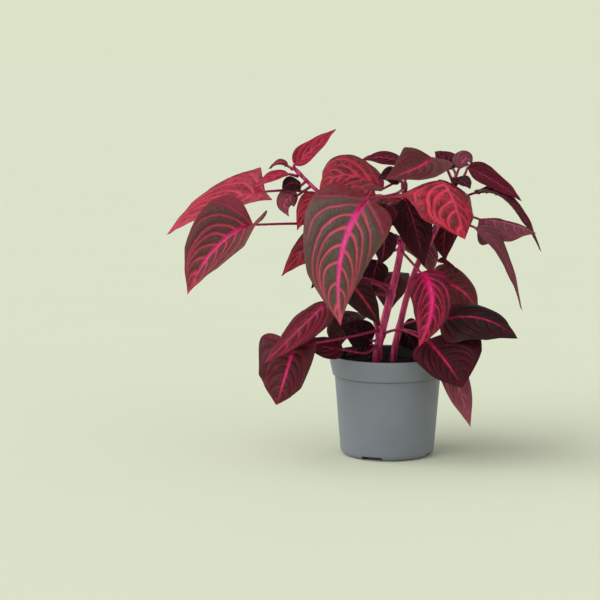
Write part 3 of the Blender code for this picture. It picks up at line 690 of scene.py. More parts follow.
def leaf_tree():
    """A blade with its two faces, veins in relief, and a round stalk along the piece's own line."""
    tree = bpy.data.node_groups.new("leaf", "GeometryNodeTree")
    give = tree_inputs(tree, {
        "Base": "Vector", "Middle": "Vector", "Tip": "Vector", "Face": "Vector", "Width": "Float",
        "Fold": "Float", "Fold at base": "Float", "Droop": "Float", "Wave": "Float", "Lobe": "Float",
        "Curl": "Vector", "Lowest": "Vector", "Highest": "Vector", "Lean": "Float",
        "Widest at": "Float", "Point": "Float", "Side veins": "Float", "Puff": "Float",
        "Crinkle": "Float", "Tone": "Float", "Rows": "Int", "Columns": "Int",
        "Blade finish": "Material", "Stalk finish": "Material"})
    base, middle, tip = give["Base"], give["Middle"], give["Tip"]
    length = direction(tree, "LENGTH", tip - base)
    bend = middle * 2.0 - (base + tip) * 0.5
    side = direction(tree, "NORMALIZE", direction(tree, "CROSS_PRODUCT", tip - base, give["Face"]))
    half = give["Width"] * 0.5

    sheet = step(tree, "GeometryNodeMeshGrid", Size_X=1.0, Size_Y=1.0, Vertices_X=give["Columns"],
        Vertices_Y=give["Rows"])
    across_share, v, _ = parted(Term(tree, sheet.socket.node.outputs["UV Map"]))
    u = across_share * 2.0 - 1.0
    reach = number(tree, "ABSOLUTE", u)
    hand = number(tree, "SIGN", u)
    hump = number(tree, "SINE", v * math.pi)

    # Outline: slanted runs along the midrib, and wide is the half-width there
    slanted = v + hump * hump * reach ** 1.6 * SLANT
    blunt = give["Point"] * give["Widest at"] / (1.0 - give["Widest at"])
    low = number(tree, "MAXIMUM", slanted, 0.0) / give["Widest at"]
    high = number(tree, "MAXIMUM", 1.0 - slanted, 0.0) / (1.0 - give["Widest at"])
    outline = low ** blunt * high ** give["Point"]
    wide = half * (1.0 + give["Lean"] * hand) * outline
    back = number(tree, "SINE", number(tree, "MINIMUM", v * 2.0, 1.0) * math.pi)
    t = slanted - give["Lobe"] * back * reach ** 1.5

    # Midrib: a curve through base, middle and tip, with the blade's own directions along it
    point = base * ((1.0 - t) * (1.0 - t)) + bend * (t * (1.0 - t) * 2.0) + tip * (t * t)
    heading = direction(tree, "NORMALIZE", (bend - base) * (1.0 - t) + (tip - bend) * t)
    lean_in = heading * direction(tree, "DOT_PRODUCT", side, heading)
    across = direction(tree, "NORMALIZE", side - lean_in)
    up = direction(tree, "CROSS_PRODUCT", across, heading)

    # Cross-section: both halves lift from the midrib by the fold, then droop along an arc
    near_base = number(tree, "MAXIMUM", 1.0 - v / 0.6, 0.0) ** 1.5
    start = give["Fold"] + (give["Fold at base"] - give["Fold"]) * near_base
    end = start - give["Droop"] * reach
    out = (number(tree, "SINE", start) - number(tree, "SINE", end)) / give["Droop"]
    lift = (number(tree, "COSINE", end) - number(tree, "COSINE", start)) / give["Droop"]
    turns = number(tree, "SINE", (v * WAVES + hand * 0.3) * (2 * math.pi))
    ripple = give["Wave"] * wide * reach * reach * turns

    # Veins: each side vein arches from its start on the midrib towards the tip and dies out near
    # the margin, and the arch is flatter for a start nearer the base. begun is the share of the
    # midrib where the vein through a point starts: the root of a quadratic at the base, where
    # the arch grows with begun, and a plain share further up. phase is a whole number on each
    # vein, and spacing is the distance between two.
    flat = point + across * (hand * out * wide)
    bowed = number(tree, "MINIMUM", reach ** BOW, ARCH_END)
    left_over = 1.0 - bowed * ARCH
    begun_high = (slanted - bowed * ARCH) / left_over
    sum_low = 1.0 + bowed * (ARCH_GAIN - ARCH_AT_BASE)
    inside = sum_low * sum_low - bowed * (slanted - bowed * ARCH_AT_BASE) * (4.0 * ARCH_GAIN)
    root = number(tree, "MAXIMUM", inside, 0.01) ** 0.5
    begun_low = (slanted - bowed * ARCH_AT_BASE) * 2.0 / (sum_low + root)
    begun = number(tree, "MAXIMUM", begun_high, begun_low)
    is_high = number(tree, "GREATER_THAN", begun_high, begun_low)
    on_rib = number(tree, "MAXIMUM", begun, 0.0) + 0.01
    from_base = number(tree, "MINIMUM", begun, 0.0)
    wander = (mottle(tree, flat, 0.04, 1.0) - 0.5) * 0.6
    crowding = ramp(begun, -0.03, 0.03, 0.9, on_rib ** -0.25 * 0.75)
    phase = (on_rib ** 0.75 + from_base * 0.9) * give["Side veins"] - 0.6 + hand * 0.13 + wander
    arch = number(tree, "MINIMUM", on_rib * ARCH_GAIN + ARCH_AT_BASE, ARCH)
    turn_in = (1.0 - begun) * arch * reach ** (BOW - 1.0) * BOW / number(tree, "MAXIMUM", wide, 1.0)
    steep = (1.0 / (length * length) + turn_in * turn_in) ** 0.5
    spacing = (root + (left_over - root) * is_high) / (give["Side veins"] * crowding) / steep
    to_vein = to_whole(phase) * spacing
    to_rib = reach * wide

    # Relief: puffed between the veins, sunk along them above and raised along them below
    vein = ramp(to_vein, 0.0, LATERAL_HALF * 1.6, 1.0, 0.0) * (1.0 - reach * 0.7)
    rib = ramp(to_rib, 0.0, MIDRIB_HALF * 1.5, 1.0, 0.0)
    ends = ramp(v, 0.0, 0.03) * ramp(v, 0.97, 1.0, 1.0, 0.0)
    rise = number(tree, "COSINE", phase * (2 * math.pi)) * -1.0
    swell = number(tree, "SINE", number(tree, "MINIMUM", reach * 1.1, 1.0) * math.pi)
    puff = give["Puff"] * rise * swell * outline
    dent = mottle(tree, flat, 0.07, 2.0) - 0.5
    crinkle = dent * give["Crinkle"] * reach * outline
    relief = (puff + crinkle * 2.0 - vein * LATERAL_DEEP - rib * MIDRIB_SUNK) * ends
    turned_up = reach * reach * number(tree, "SINE", number(tree, "MINIMUM", v / 0.34, 1.0) * math.pi)
    curl = give["Curl"] * (turned_up * number(tree, "LESS_THAN", u, 0.0))
    upper = flat + up * (lift * wide + ripple + relief) + curl
    rim = (1.0 - reach ** 6.0) * ends
    under = (BLADE_THICK + vein * LATERAL_DEEP * 2.0 + rib * (1.0 - v * 0.75) * MIDRIB_DEEP) * rim
    lower = upper - up * under

    # The two faces, joined at the margin, with what the skin reads kept on them
    pairs = {"blade": (u, v), "size": (hand * to_rib, t * length), "vein": (phase, spacing)}
    faces = []
    for place, is_under in ((upper, 0.0), (lower, 1.0)):
        place = direction(tree, "MINIMUM", place, give["Highest"])
        place = direction(tree, "MAXIMUM", place, give["Lowest"])
        face = step(tree, "GeometryNodeSetPosition", Geometry=sheet, Position=place * MM)
        for name, (first, second) in pairs.items():
            both = step(tree, "ShaderNodeCombineXYZ", X=first, Y=second)
            face = keep(face, name, both, "FLOAT2", "CORNER")
        face = keep(face, "under", is_under, "FLOAT")
        if is_under:
            face = step(tree, "GeometryNodeFlipFaces", Mesh=face)
        faces.append(face)
    shell = tree.nodes.new("GeometryNodeJoinGeometry")
    for face in reversed(faces):
        feed(tree, shell.inputs[0], face)
    closed = step(tree, "GeometryNodeMergeByDistance", Geometry=Term(tree, shell.outputs[0]),
        Distance=MARGIN_MERGE * MM)
    kept_blade = step(tree, "GeometryNodeInputNamedAttribute", {"data_type": "FLOAT_VECTOR"}, Name="blade")
    at_rim = number(tree, "GREATER_THAN", number(tree, "ABSOLUTE", parted(kept_blade)[0]), 0.998)
    smooth = step(tree, "GeometryNodeSetShadeSmooth", Geometry=closed)
    creased = step(tree, "GeometryNodeSetShadeSmooth", {"domain": "EDGE"}, Geometry=smooth,
        Selection=at_rim, Shade_Smooth=False)

    stalk = keep(tube_nodes(tree, give["Geometry"], STALK_SIDES), "stalk", True, "BOOLEAN")
    whole = tree.nodes.new("GeometryNodeJoinGeometry")
    feed(tree, whole.inputs[0], stalk)
    feed(tree, whole.inputs[0], creased)
    # Each leaf's tone is partly its own colour and partly painted light and shade, lifting leaves that lie
    # in shadow and darkening the lowest
    toned = keep(Term(tree, whole.outputs[0]), "tone", give["Tone"], "FLOAT")
    is_stalk = step(tree, "GeometryNodeInputNamedAttribute", {"data_type": "BOOLEAN"}, Name="stalk")
    end_tree(tree, toned, [(give["Blade finish"], True), (give["Stalk finish"], is_stalk)])
    return tree


def kept_pair(tree, name):
    """Two numbers that the blade keeps along its surface."""
    return parted(step(tree, "ShaderNodeUVMap", {"uv_map": name}))[:2]


def kept_number(tree, name):
    """A number that each face keeps."""
    return step(tree, "ShaderNodeAttribute", {"attribute_name": name}, output="Fac")


def leaf_finish(name, lamina, flush, vein, rib, base, edge, under, vein_half, rib_half, crown=None,
                spread=3.0, net=0.15, cell=6.0, wash=0.3, patch=0.3, fade=0.5, shine=0.2):
    """Satin leaf skin.

    lamina is the colour between the veins and flush the colour that spreads from them, over
    spread millimetres. vein and rib colour the side veins and the midrib, whose half-widths
    are vein_half and rib_half. base is the colour that the midrib has at the stalk, and crown
    the one that washes over the skin there, by the share wash. net is how clearly the network
    of finest veins shows, cell the size of its meshes, patch how cloudy the skin is, and fade
    how much side veins pale to the margin.
    """
    finish, tree, shader, where = new_finish("leaf_skin_" + name, LEAF_ROUGH, shine)
    u, v = kept_pair(tree, "blade")
    across, along = kept_pair(tree, "size")
    phase, spacing = kept_pair(tree, "vein")
    reach = number(tree, "ABSOLUTE", u)
    cloud = mottle(tree, where, 0.05, 4.0)
    wobble = mottle(tree, where, 0.22, 2.0)
    grit = mottle(tree, where, 1.1, 3.0)
    to_vein = to_whole(phase) * spacing + (wobble - 0.5) * 0.9
    to_rib = number(tree, "ABSOLUTE", across) + (wobble - 0.5) * 1.2
    junction = ramp(to_rib, 0.0, 11.0, 1.7, 1.0)
    side_half = (1.0 - reach * 0.4) * (1.0 - v * 0.35) * junction * vein_half
    mid_half = (1.0 - v * 0.66) * ramp(v, 0.0, 0.06, 0.6, 1.0) * rib_half

    # The network of the finest veins
    flat_place = step(tree, "ShaderNodeCombineXYZ", X=across + (wobble - 0.5) * 3.0,
        Y=along + (cloud - 0.5) * 6.0)
    to_net = step(tree, "ShaderNodeTexVoronoi", {"feature": "DISTANCE_TO_EDGE"}, "Distance",
        Vector=flat_place, Scale=1 / cell) * cell

    # Ladder-like veins that cross from one side vein to the next
    uneven = (cloud - 0.5) * 4.0 + (wobble - 0.5) * 2.5
    rungs = to_rib / LADDER_STEP + uneven + number(tree, "FLOOR", phase) * 0.37
    to_rung = to_whole(rungs) * LADDER_STEP
    ladder = ramp(to_rung, 0.1, 0.55, 1.0, 0.0) * ramp(phase, 0.0, 0.8)

    # Skin between the veins: cloudy, with a painted grey sheen furthest from them, flushed beside them
    on_veins = ramp(reach, 0.8, 0.95, 1.0, 0.0) * ramp(phase, -0.8, 0.5, 0.2, 1.0)
    glow = number(tree, "MAXIMUM", ramp(to_vein, 0.0, spread, 1.0, 0.0) * on_veins,
        ramp(to_rib, 0.0, spread * 1.6, 1.0, 0.0))
    near_net = ramp(to_net, 0.2, cell * 0.3, 1.0, 0.0)
    skin = blend(ramp(cloud + wobble, 0.84, 1.2, 0.0, patch), linear(lamina), linear(flush))
    painted_sheen = [c + (SHEEN_GREY - c) * SHEEN_SHARE for c in lamina]
    skin = blend(ramp(to_vein, 2.0, 7.0, 0.0, 0.8) * ramp(wobble, 0.35, 0.6), skin, linear(painted_sheen))
    skin = blend(ramp(reach + (cloud - 0.5) * 0.2, 0.84, 0.97, 0.0, 0.75), skin, linear(edge))
    skin = blend(ramp(v, 0.78, 1.0, 0.0, 0.7), skin, linear(edge))
    skin = blend(number(tree, "MAXIMUM", glow * 0.75, near_net * net), skin, linear(flush))
    blotch = ramp(wobble, 0.36, 0.62, 0.55, 1.0)
    crowned = ramp(phase, -0.4, 0.7, wash, 0.0) * ramp(v + wobble * 0.1, 0.25, 0.5, 1.0, 0.0)
    skin = blend(crowned * blotch, skin, linear(crown or base))

    # The veins themselves, finest first, and the midrib with a painted highlight along its crest
    fine_net = ramp(to_net, 0.02 * cell, 0.1 * cell, net, 0.0)
    skin = blend(fine_net * 0.7, skin, linear(vein))
    skin = blend(ladder * 0.13, skin, linear(flush))
    side_line = ramp(to_vein, 0.0, side_half * 1.6, 1.0, 0.0) * on_veins
    strength = ramp(reach, 0.25, 0.95, 0.95, 0.95 - fade) * ramp(cloud, 0.3, 0.6, 0.75, 1.0)
    vein_here = blend(ramp(v, 0.05, 0.28, 0.6, 0.0), linear(vein), linear(crown or vein))
    skin = blend(side_line * strength, skin, vein_here)
    mid_line = ramp(to_rib, mid_half * 0.25, mid_half * 1.35, 1.0, 0.0)
    rib_glint = ramp(to_rib, 0.0, mid_half * 0.7, 0.3, 0.0) * ramp(v, 0.14, 0.3)
    along_rib = blend(ramp(v, 0.05, 0.2), linear(base), linear(rib))
    along_rib = blend(rib_glint, along_rib, linear([c + (255 - c) * RIB_GLINT_PALE for c in rib]))
    skin = blend(mid_line, skin, blend(ramp(v, 0.6, 0.98), along_rib, linear(vein)))

    # The underside, then each leaf's tone over both, partly its own colour and partly painted light and
    # shade
    below = kept_number(tree, "under")
    vein_below = number(tree, "MAXIMUM", side_line, mid_line)
    back = blend(ramp(cloud, 0.35, 0.7, 0.0, 0.6), linear(under), linear(flush))
    back = blend(vein_below * 0.5, back, linear(vein))
    skin = blend(below, skin, back)
    toned = step(tree, "ShaderNodeHueSaturation", Color=skin, Value=kept_number(tree, "tone"))
    feed(tree, shader.inputs["Base Color"], toned)
    rough = ramp(grit, 0.3, 0.7, LEAF_ROUGH - 0.06, LEAF_ROUGH + 0.1) + vein_below * 0.05
    feed(tree, shader.inputs["Roughness"], rough)
    quilt = ramp(to_rung, 0.0, LADDER_STEP * 0.5) * ramp(to_vein, 0.0, 2.5)
    relief = quilt * ramp(phase, 0.0, 0.8, 0.0, 1.5) + grit * 0.4 - fine_net * 0.7 - side_line * 0.6
    raise_surface(tree, shader, relief, SKIN_RELIEF)
    return finish


STALK_LOOK = {"skin": (176, 12, 84), "deep": (122, 4, 54), "light": (214, 66, 124), "old": (150, 20, 70)}
STALK_GIRTH = 2.0
stalk_skin = magenta_skin("stalk_skin", STALK_LOOK, STALK_GIRTH)
leaf_maker = leaf_tree()


def stalk_line(stalk, base, mid, tip, face):
    """Centre line and radii of a stalk, from inside its stem to under the blade's base."""
    base, mid, tip = Vector(base), Vector(mid), Vector(tip)
    points = smooth_path((*stalk, base), STALK_STEP)
    heading = (2 * mid - 0.5 * (base + tip) - base).normalized()
    face = Vector(face).normalized()
    below = -(face - face.dot(heading) * heading).normalized()
    run_on = STALK_RUN_ON * (tip - base).length
    points[-1] = base + below * STALK_BELOW
    for k in range(1, STALK_TAPER + 1):
        share = k / STALK_TAPER
        points.append(base + heading * (run_on * share) + below * (STALK_BELOW + STALK_SINK * share))
    girths = []
    for k in range(len(points)):
        share = k / (len(points) - 1)
        flare = 0.25 * max(0.0, 1 - share / 0.12)
        narrow = max(0.0, (k - len(points) + STALK_TAPER + 1) / STALK_TAPER)
        girths.append(STALK_RADIUS * (1.12 - 0.3 * share + flare) * (1 - 0.55 * narrow))
    return points, girths


def grow_leaf(node_name, finish, stalk, base, mid, tip, width, face, fold, fold_base=None, droop=24,
              lobe=0.14, lean=0, full_at=0.34, point=1.2, curl=(0, 0, 0), grid=SMALL, veins=None, tone=1.0,
              puff=PUFF, crinkle=CRINKLE):
    """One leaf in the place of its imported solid.

    stalk holds the points that the stalk passes before it meets the blade at base. The midrib
    runs on through mid to tip, and the upper side looks towards face. fold, fold_base and droop
    are degrees. lobe is how far the blade reaches back beside its base, lean how much wider one
    half is, full_at where it is widest and point how slender its tip is. curl is the way that
    one edge turns up towards the base, in millimetres.
    """
    rows, columns, usual_veins = grid
    line = stalk_line(stalk, base, mid, tip, face)
    piece = add_piece(node_name.replace("leaf_", "") + "_leaf", centre_lines(node_name, [line]))
    if fold_base is None:
        fold_base = fold + BASE_FOLD
    grow(piece, leaf_maker, Base=base, Middle=mid, Tip=tip, Face=face, Width=float(width),
        Fold=math.radians(fold), Fold_at_base=math.radians(fold_base), Droop=math.radians(droop),
        Wave=WAVE, Lobe=lobe, Lean=float(lean), Curl=curl, Widest_at=full_at, Point=point,
        Lowest=[c / MM + BOX_MARGIN for c in cad_box[0]], Highest=[c / MM - BOX_MARGIN for c in cad_box[1]],
        Side_veins=veins or usual_veins, Puff=puff, Crinkle=crinkle, Tone=tone, Rows=rows + 1,
        Columns=columns + 1, Blade_finish=finish, Stalk_finish=stalk_skin)
    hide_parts(node_name)
    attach(piece, "root")


# The big front leaf hangs face-on to the camera from the top of the middle stem.
# Its blade is puffed between coral side veins and a broad hot pink midrib.
brown_green = leaf_finish("brown_green", lamina=(80, 72, 62), flush=(138, 46, 62), vein=(222, 90, 114),
    rib=(244, 46, 146), base=(184, 8, 82), edge=(108, 76, 72), under=(122, 62, 74), crown=(116, 24, 38),
    spread=2.8, vein_half=1.6, rib_half=4.4, net=0.05, wash=1.2, patch=0.12, shine=0.28)
grow_leaf("leaf_front_large", brown_green, ((17, 1, 293), (4, -38, 290)), (-25, -62, 287),
    (-53, -104, 234), (-54, -107, 157), width=91, face=(0.1, -0.95, 0.25), fold=-6, fold_base=24, lean=0.12,
    grid=BIG, veins=8.2)


# Three broad leaves fan out to the left of it: a brown one lowest, a coral red
# one above it, and a red one that stands behind the big leaf's base.
brown_red = leaf_finish("brown_red", lamina=(84, 58, 52), flush=(122, 44, 56), vein=(204, 66, 92),
    rib=(232, 40, 124), base=(176, 10, 72), edge=(118, 62, 60), under=(126, 56, 70), spread=3.2,
    vein_half=1.6, rib_half=4.4, net=0.08, wash=0.5, fade=0.6)
coral = leaf_finish("coral", lamina=(112, 40, 50), flush=(200, 60, 84), vein=(212, 80, 102),
    rib=(214, 56, 98), base=(190, 40, 80), edge=(112, 40, 48), under=(150, 60, 80), spread=4.5,
    vein_half=1.2, rib_half=1.8, net=0.25, cell=5.0, wash=0.1, patch=1.1)
crimson = leaf_finish("crimson", lamina=(70, 24, 30), flush=(184, 38, 60), vein=(200, 58, 80),
    rib=(206, 40, 86), base=(140, 16, 44), edge=(78, 22, 32), under=(116, 28, 52), spread=2.8,
    vein_half=1.7, rib_half=2.0, patch=0.85)
grow_leaf("leaf_left_front", brown_red, ((-24, -10, 252), (-90, -35, 258)), (-146, -68, 260),
    (-185, -90, 237), (-215, -98, 189), width=88, face=(-0.45, -0.8, 0.4), fold=28, droop=12, full_at=0.3,
    curl=(-1, 3, 18), grid=BIG, veins=7.6)
grow_leaf("leaf_left_upper", coral, ((-74, -21, 288), (-104, -23, 293)), (-134, -25, 292),
    (-188, -36, 279), (-240, -45, 247), width=70, face=(-0.1, -0.5, 0.8), fold=18, fold_base=28, droop=14,
    lobe=0.2, full_at=0.18, point=1.15, grid=LONG, tone=0.98)
grow_leaf("leaf_behind_front", crimson, ((17, 2, 299), (10, -2, 301)), (-6, -9, 294),
    (-55, -12, 308), (-74, -8, 274), width=78, face=(0, -0.45, 0.9), fold=12, full_at=0.42, grid=MIDDLE,
    puff=1.3, crinkle=2.0)


# The side shoot ends in its youngest leaves, small and narrow and still folding
# open. They are red, brown and dull pink, and one of them is nearly black.
young_red = leaf_finish("young_red", lamina=(100, 30, 44), flush=(176, 38, 64), vein=(200, 74, 100),
    rib=(196, 60, 98), base=(120, 24, 44), edge=(136, 38, 58), under=(130, 44, 64), vein_half=0.8,
    rib_half=1.4, net=0.35, cell=4.0, patch=1.25, shine=0.06)
scarlet = leaf_finish("scarlet", lamina=(94, 32, 38), flush=(202, 34, 66), vein=(220, 62, 90),
    rib=(216, 42, 80), base=(190, 28, 78), edge=(134, 26, 46), under=(118, 20, 46), spread=2.6,
    vein_half=1.9, rib_half=2.8, net=0.12, cell=7.0, wash=0.4, patch=0.88)
plum = leaf_finish("plum", lamina=(92, 50, 58), flush=(116, 44, 60), vein=(144, 64, 84), rib=(172, 60, 94),
    base=(104, 36, 58), edge=(92, 48, 56), under=(118, 66, 80), vein_half=0.8, rib_half=1.4, net=0.12,
    wash=0.2)
# The black finish is partly the leaves' own near-black colour and partly painted shade, as dark as leaves
# deep in the plant's shade
black = leaf_finish("black", lamina=(46, 16, 25), flush=(64, 16, 30), vein=(84, 18, 40), rib=(122, 8, 56),
    base=(50, 14, 24), edge=(46, 22, 26), under=(56, 18, 30), spread=2.4, vein_half=0.6, rib_half=1.2,
    net=0.1, wash=0.2, shine=0.12)
dusk = leaf_finish("dusk", lamina=(84, 52, 48), flush=(124, 32, 46), vein=(126, 56, 62), rib=(216, 26, 84),
    base=(160, 10, 62), edge=(112, 60, 64), under=(110, 54, 66), spread=4.0, vein_half=1.0, rib_half=3.4,
    net=0.08, wash=0.2)
dusty_rose = leaf_finish("dusty_rose", lamina=(122, 66, 74), flush=(142, 64, 82), vein=(166, 80, 102),
    rib=(178, 74, 106), base=(80, 24, 36), edge=(116, 64, 72), under=(116, 52, 66), vein_half=0.9,
    rib_half=1.4, net=0.1, wash=0.7)
grow_leaf("leaf_tip_left_up", young_red, ((-103, -23, 315),), (-103, -25, 321), (-82, -27, 339),
    (-58, -31, 360), width=25, face=(-0.35, -0.8, 0.5), fold=18, droop=20, lobe=0.05, tone=0.85)
grow_leaf("leaf_tip_left_low", young_red, ((-99, -20, 308),), (-109, -26, 311),
    (-127, -34, 308), (-147, -42, 296), width=22, face=(-0.1, -0.4, 0.9), fold=10, droop=20, lobe=0.05)
grow_leaf("leaf_tip_left_back", dusk, ((-105, -21, 316),), (-110, -14, 319), (-120, -14, 323),
    (-131, -12, 316), width=14, face=(-0.1, -0.4, 0.9), fold=10, droop=20, lobe=0.05, tone=0.75)
grow_leaf("leaf_left_bud", black, ((-90, -22, 303),), (-95, -30, 299), (-107, -36, 302),
    (-116, -40, 293), width=24, face=(0, -0.75, 0.65), fold=4, droop=40, lobe=0.1, tone=0.8)
grow_leaf("leaf_left_pale", dusty_rose, ((-84, -22, 298),), (-99, -28, 288), (-113, -34, 281),
    (-108, -38, 266), width=22, face=(0.2, -0.9, 0.3), fold=6, droop=20, lobe=0.05, tone=1.35)
grow_leaf("leaf_left_under", crimson, ((-72, -20, 286),), (-74, -33, 287), (-88, -44, 276),
    (-100, -50, 252), width=30, face=(-0.3, -0.9, 0.3), fold=8, droop=20, lobe=0.08, tone=0.8)


# The right stem's top spreads a wide scarlet leaf with dark islands between its
# veins, a brown one to the left, and smaller ones that are mostly wine red.
wine = leaf_finish("wine", lamina=(72, 6, 24), flush=(102, 10, 36), vein=(120, 20, 48), rib=(150, 36, 72),
    base=(80, 6, 32), edge=(86, 24, 38), under=(96, 28, 48), vein_half=0.8, rib_half=1.2, net=0.1,
    shine=0.16)
grow_leaf("leaf_right_red", scarlet, ((69, -7, 296), (62, -15, 301)), (53, -25, 304),
    (64, -68, 290), (76, -96, 247), width=87, face=(0.3, -0.6, 0.74), fold=-16, fold_base=-6, lobe=0.36,
    lean=0.1, full_at=0.43, point=1.05, grid=LONG, puff=1.3, crinkle=2.0)
grow_leaf("leaf_top", dusk, ((70, -7, 300), (60, 0, 320)), (47, 0, 327), (29, -20, 317),
    (-7, -38, 306), width=62, face=(-0.05, -0.6, 0.8), fold=14, droop=18, lobe=0.08, grid=MIDDLE, tone=0.8)
grow_leaf("leaf_tip_right_dark", wine, ((71, -7, 301), (73, 0, 308)), (71, 4, 314),
    (61, 12, 325), (51, 16, 333), width=29, face=(0.3, -0.8, 0.5), fold=12, droop=20, lobe=0.05, tone=0.7)
grow_leaf("leaf_tip_right_grey", plum, ((72, -8, 305),), (76, -4, 315), (84, -2, 326),
    (92, -4, 319), width=28, face=(0, -0.7, 0.7), fold=10, droop=20, lobe=0.05)
grow_leaf("leaf_right_wine", wine, ((71, -8, 296), (80, -13, 306)), (85, -11, 317),
    (115, -14, 302), (143, -26, 282), width=34, face=(0.3, -0.6, 0.75), fold=10, lobe=0.05)
grow_leaf("leaf_right_arched", wine, ((70, -7, 288), (81, -3, 285)), (94, -15, 290),
    (130, -30, 281), (164, -36, 227), width=50, face=(0.45, -0.2, 0.87), fold=14, lobe=0.05, grid=MIDDLE,
    tone=0.9)
grow_leaf("leaf_right_small", black, ((70, -8, 298),), (71, -20, 306), (79, -34, 303),
    (86, -43, 297), width=22, face=(0, -0.4, 0.9), fold=10, droop=20, lobe=0.05)


# The right side carries two plum leaves, one nearly level and one that hangs to a
# long point, and below them a dark umber leaf and a brown one.
maroon = leaf_finish("maroon", lamina=(54, 16, 22), flush=(84, 16, 32), vein=(88, 20, 36), rib=(188, 8, 70),
    base=(150, 4, 58), edge=(70, 20, 28), under=(86, 24, 42), vein_half=1.0, rib_half=2.8, net=0.1,
    shine=0.14)
umber = leaf_finish("umber", lamina=(42, 26, 28), flush=(60, 22, 30), vein=(72, 27, 37), rib=(172, 8, 60),
    base=(150, 2, 52), edge=(54, 32, 32), under=(70, 28, 40), vein_half=0.9, rib_half=2.4, net=0.08,
    wash=0.2, shine=0.12)
grow_leaf("leaf_right_flat", plum, ((58, -2, 263), (74, -18, 268)), (95, -44, 264),
    (124, -56, 261), (154, -68, 251), width=60, face=(0.05, -0.5, 0.85), fold=-24, fold_base=-24, droop=14,
    grid=MIDDLE, tone=1.18)
grow_leaf("leaf_right_hanging", plum, ((57, -1, 259), (70, -36, 262)), (88, -78, 258),
    (116, -88, 231), (138, -90, 171), width=42, face=(0.75, -0.4, 0.5), fold=12, lobe=0.05, full_at=0.3,
    point=1.5, grid=MIDDLE, tone=1.15)
grow_leaf("leaf_right_low", umber, ((14, 13, 140), (38, -6, 150)), (53, -50, 155),
    (96, -66, 160), (135, -74, 139), width=60, face=(0.05, -0.7, 0.7), fold=-14, fold_base=-8, droop=16,
    point=0.95, grid=MIDDLE)
grow_leaf("leaf_centre_behind", dusk, ((26, 9, 190), (34, 2, 194)), (48, 0, 190),
    (80, -2, 182), (101, 3, 152), width=50, face=(0.1, -0.8, 0.6), fold=4, grid=MIDDLE, tone=0.95)


# In front of the stems hangs a leaf with a very broad pink midrib. Below it a dark
# leaf and a dull pink one reach over the pot's rim.
pink_veined = leaf_finish("pink_veined", lamina=(58, 16, 28), flush=(124, 18, 50), vein=(200, 46, 88),
    rib=(226, 4, 108), base=(196, 0, 92), edge=(92, 20, 38), under=(104, 24, 48), spread=2.4, vein_half=1.1,
    rib_half=5.4, net=0.26, wash=0.35, patch=0.15, fade=0.3, cell=5.0)
grow_leaf("leaf_centre_pink", pink_veined, ((13, -2, 226), (20, -28, 220)), (32, -56, 208),
    (43, -80, 178), (29, -86, 132), width=47, face=(0, -0.92, 0.38), fold=2, full_at=0.4, point=1.05,
    grid=LONG, veins=7.8)
grow_leaf("leaf_low_right", maroon, ((-8, -8, 134), (12, -32, 142)), (39, -52, 134),
    (56, -80, 118), (75, -95, 90), width=78, face=(-0.03, -0.67, 0.65), fold=8, fold_base=8, droop=14,
    lobe=0.08, lean=-0.3, full_at=0.42, point=0.95, grid=LONG, tone=0.9)
grow_leaf("leaf_low_right_behind", dusty_rose, ((14, 13, 137), (36, -8, 134)), (57, -36, 124),
    (72, -58, 89), (86, -74, 43), width=33, face=(0.2, -0.85, 0.5), fold=4, lobe=0.05, full_at=0.45,
    grid=MIDDLE, tone=1.12)


# Low on the left an arched leaf and a round one hang beside the pot, with
# smaller ones behind them.
rose_lined = leaf_finish("rose_lined", lamina=(82, 42, 42), flush=(146, 22, 56), vein=(166, 44, 74),
    rib=(212, 34, 98), base=(60, 24, 26), edge=(78, 38, 40), under=(104, 30, 50), spread=3.2, vein_half=1.5,
    rib_half=3.0, net=0.08, wash=0.9, fade=0.6)
garnet = leaf_finish("garnet", lamina=(74, 26, 34), flush=(100, 22, 40), vein=(124, 33, 52),
    rib=(220, 22, 104), base=(150, 10, 60), edge=(80, 34, 40), under=(104, 30, 50), vein_half=0.8,
    rib_half=3.0, net=0.08, wash=0.4, fade=0.6)
grow_leaf("leaf_left_arched", rose_lined, ((3, -7, 177), (-30, -26, 180)), (-66, -44, 175),
    (-90, -70, 156), (-134, -113, 119), width=48, face=(-0.4, -0.55, 0.75), fold=0, droop=28, lobe=0.05,
    full_at=0.44, point=0.95, grid=MIDDLE, veins=8.0, tone=0.92)
grow_leaf("leaf_left_round", garnet, ((-8, -8, 139), (-50, -46, 135)), (-103, -74, 131),
    (-111, -86, 105), (-122, -90, 70), width=64, face=(-0.35, -0.9, 0.3), fold=4, fold_base=40, lobe=0.46,
    lean=0.2, full_at=0.44, point=1.0, grid=LONG)
grow_leaf("leaf_left_rim", wine, ((-11, -9, 122), (-26, -30, 116)), (-50, -42, 122),
    (-73, -48, 127), (-96, -52, 136), width=30, face=(0, -0.7, 0.7), fold=4, lobe=0.05, tone=0.8)
grow_leaf("leaf_left_inner", crimson, ((-12, -7, 246), (-40, -26, 246)), (-62, -30, 249),
    (-89, -38, 233), (-117, -44, 202), width=42, face=(-0.3, -0.7, 0.6), fold=4, tone=0.8)
grow_leaf("leaf_left_hidden", black, ((4, -7, 186), (-28, -8, 196)), (-58, -16, 197),
    (-72, -18, 197), (-85, -20, 186), width=24, face=(-0.1, -0.8, 0.6), fold=6, lobe=0.05)
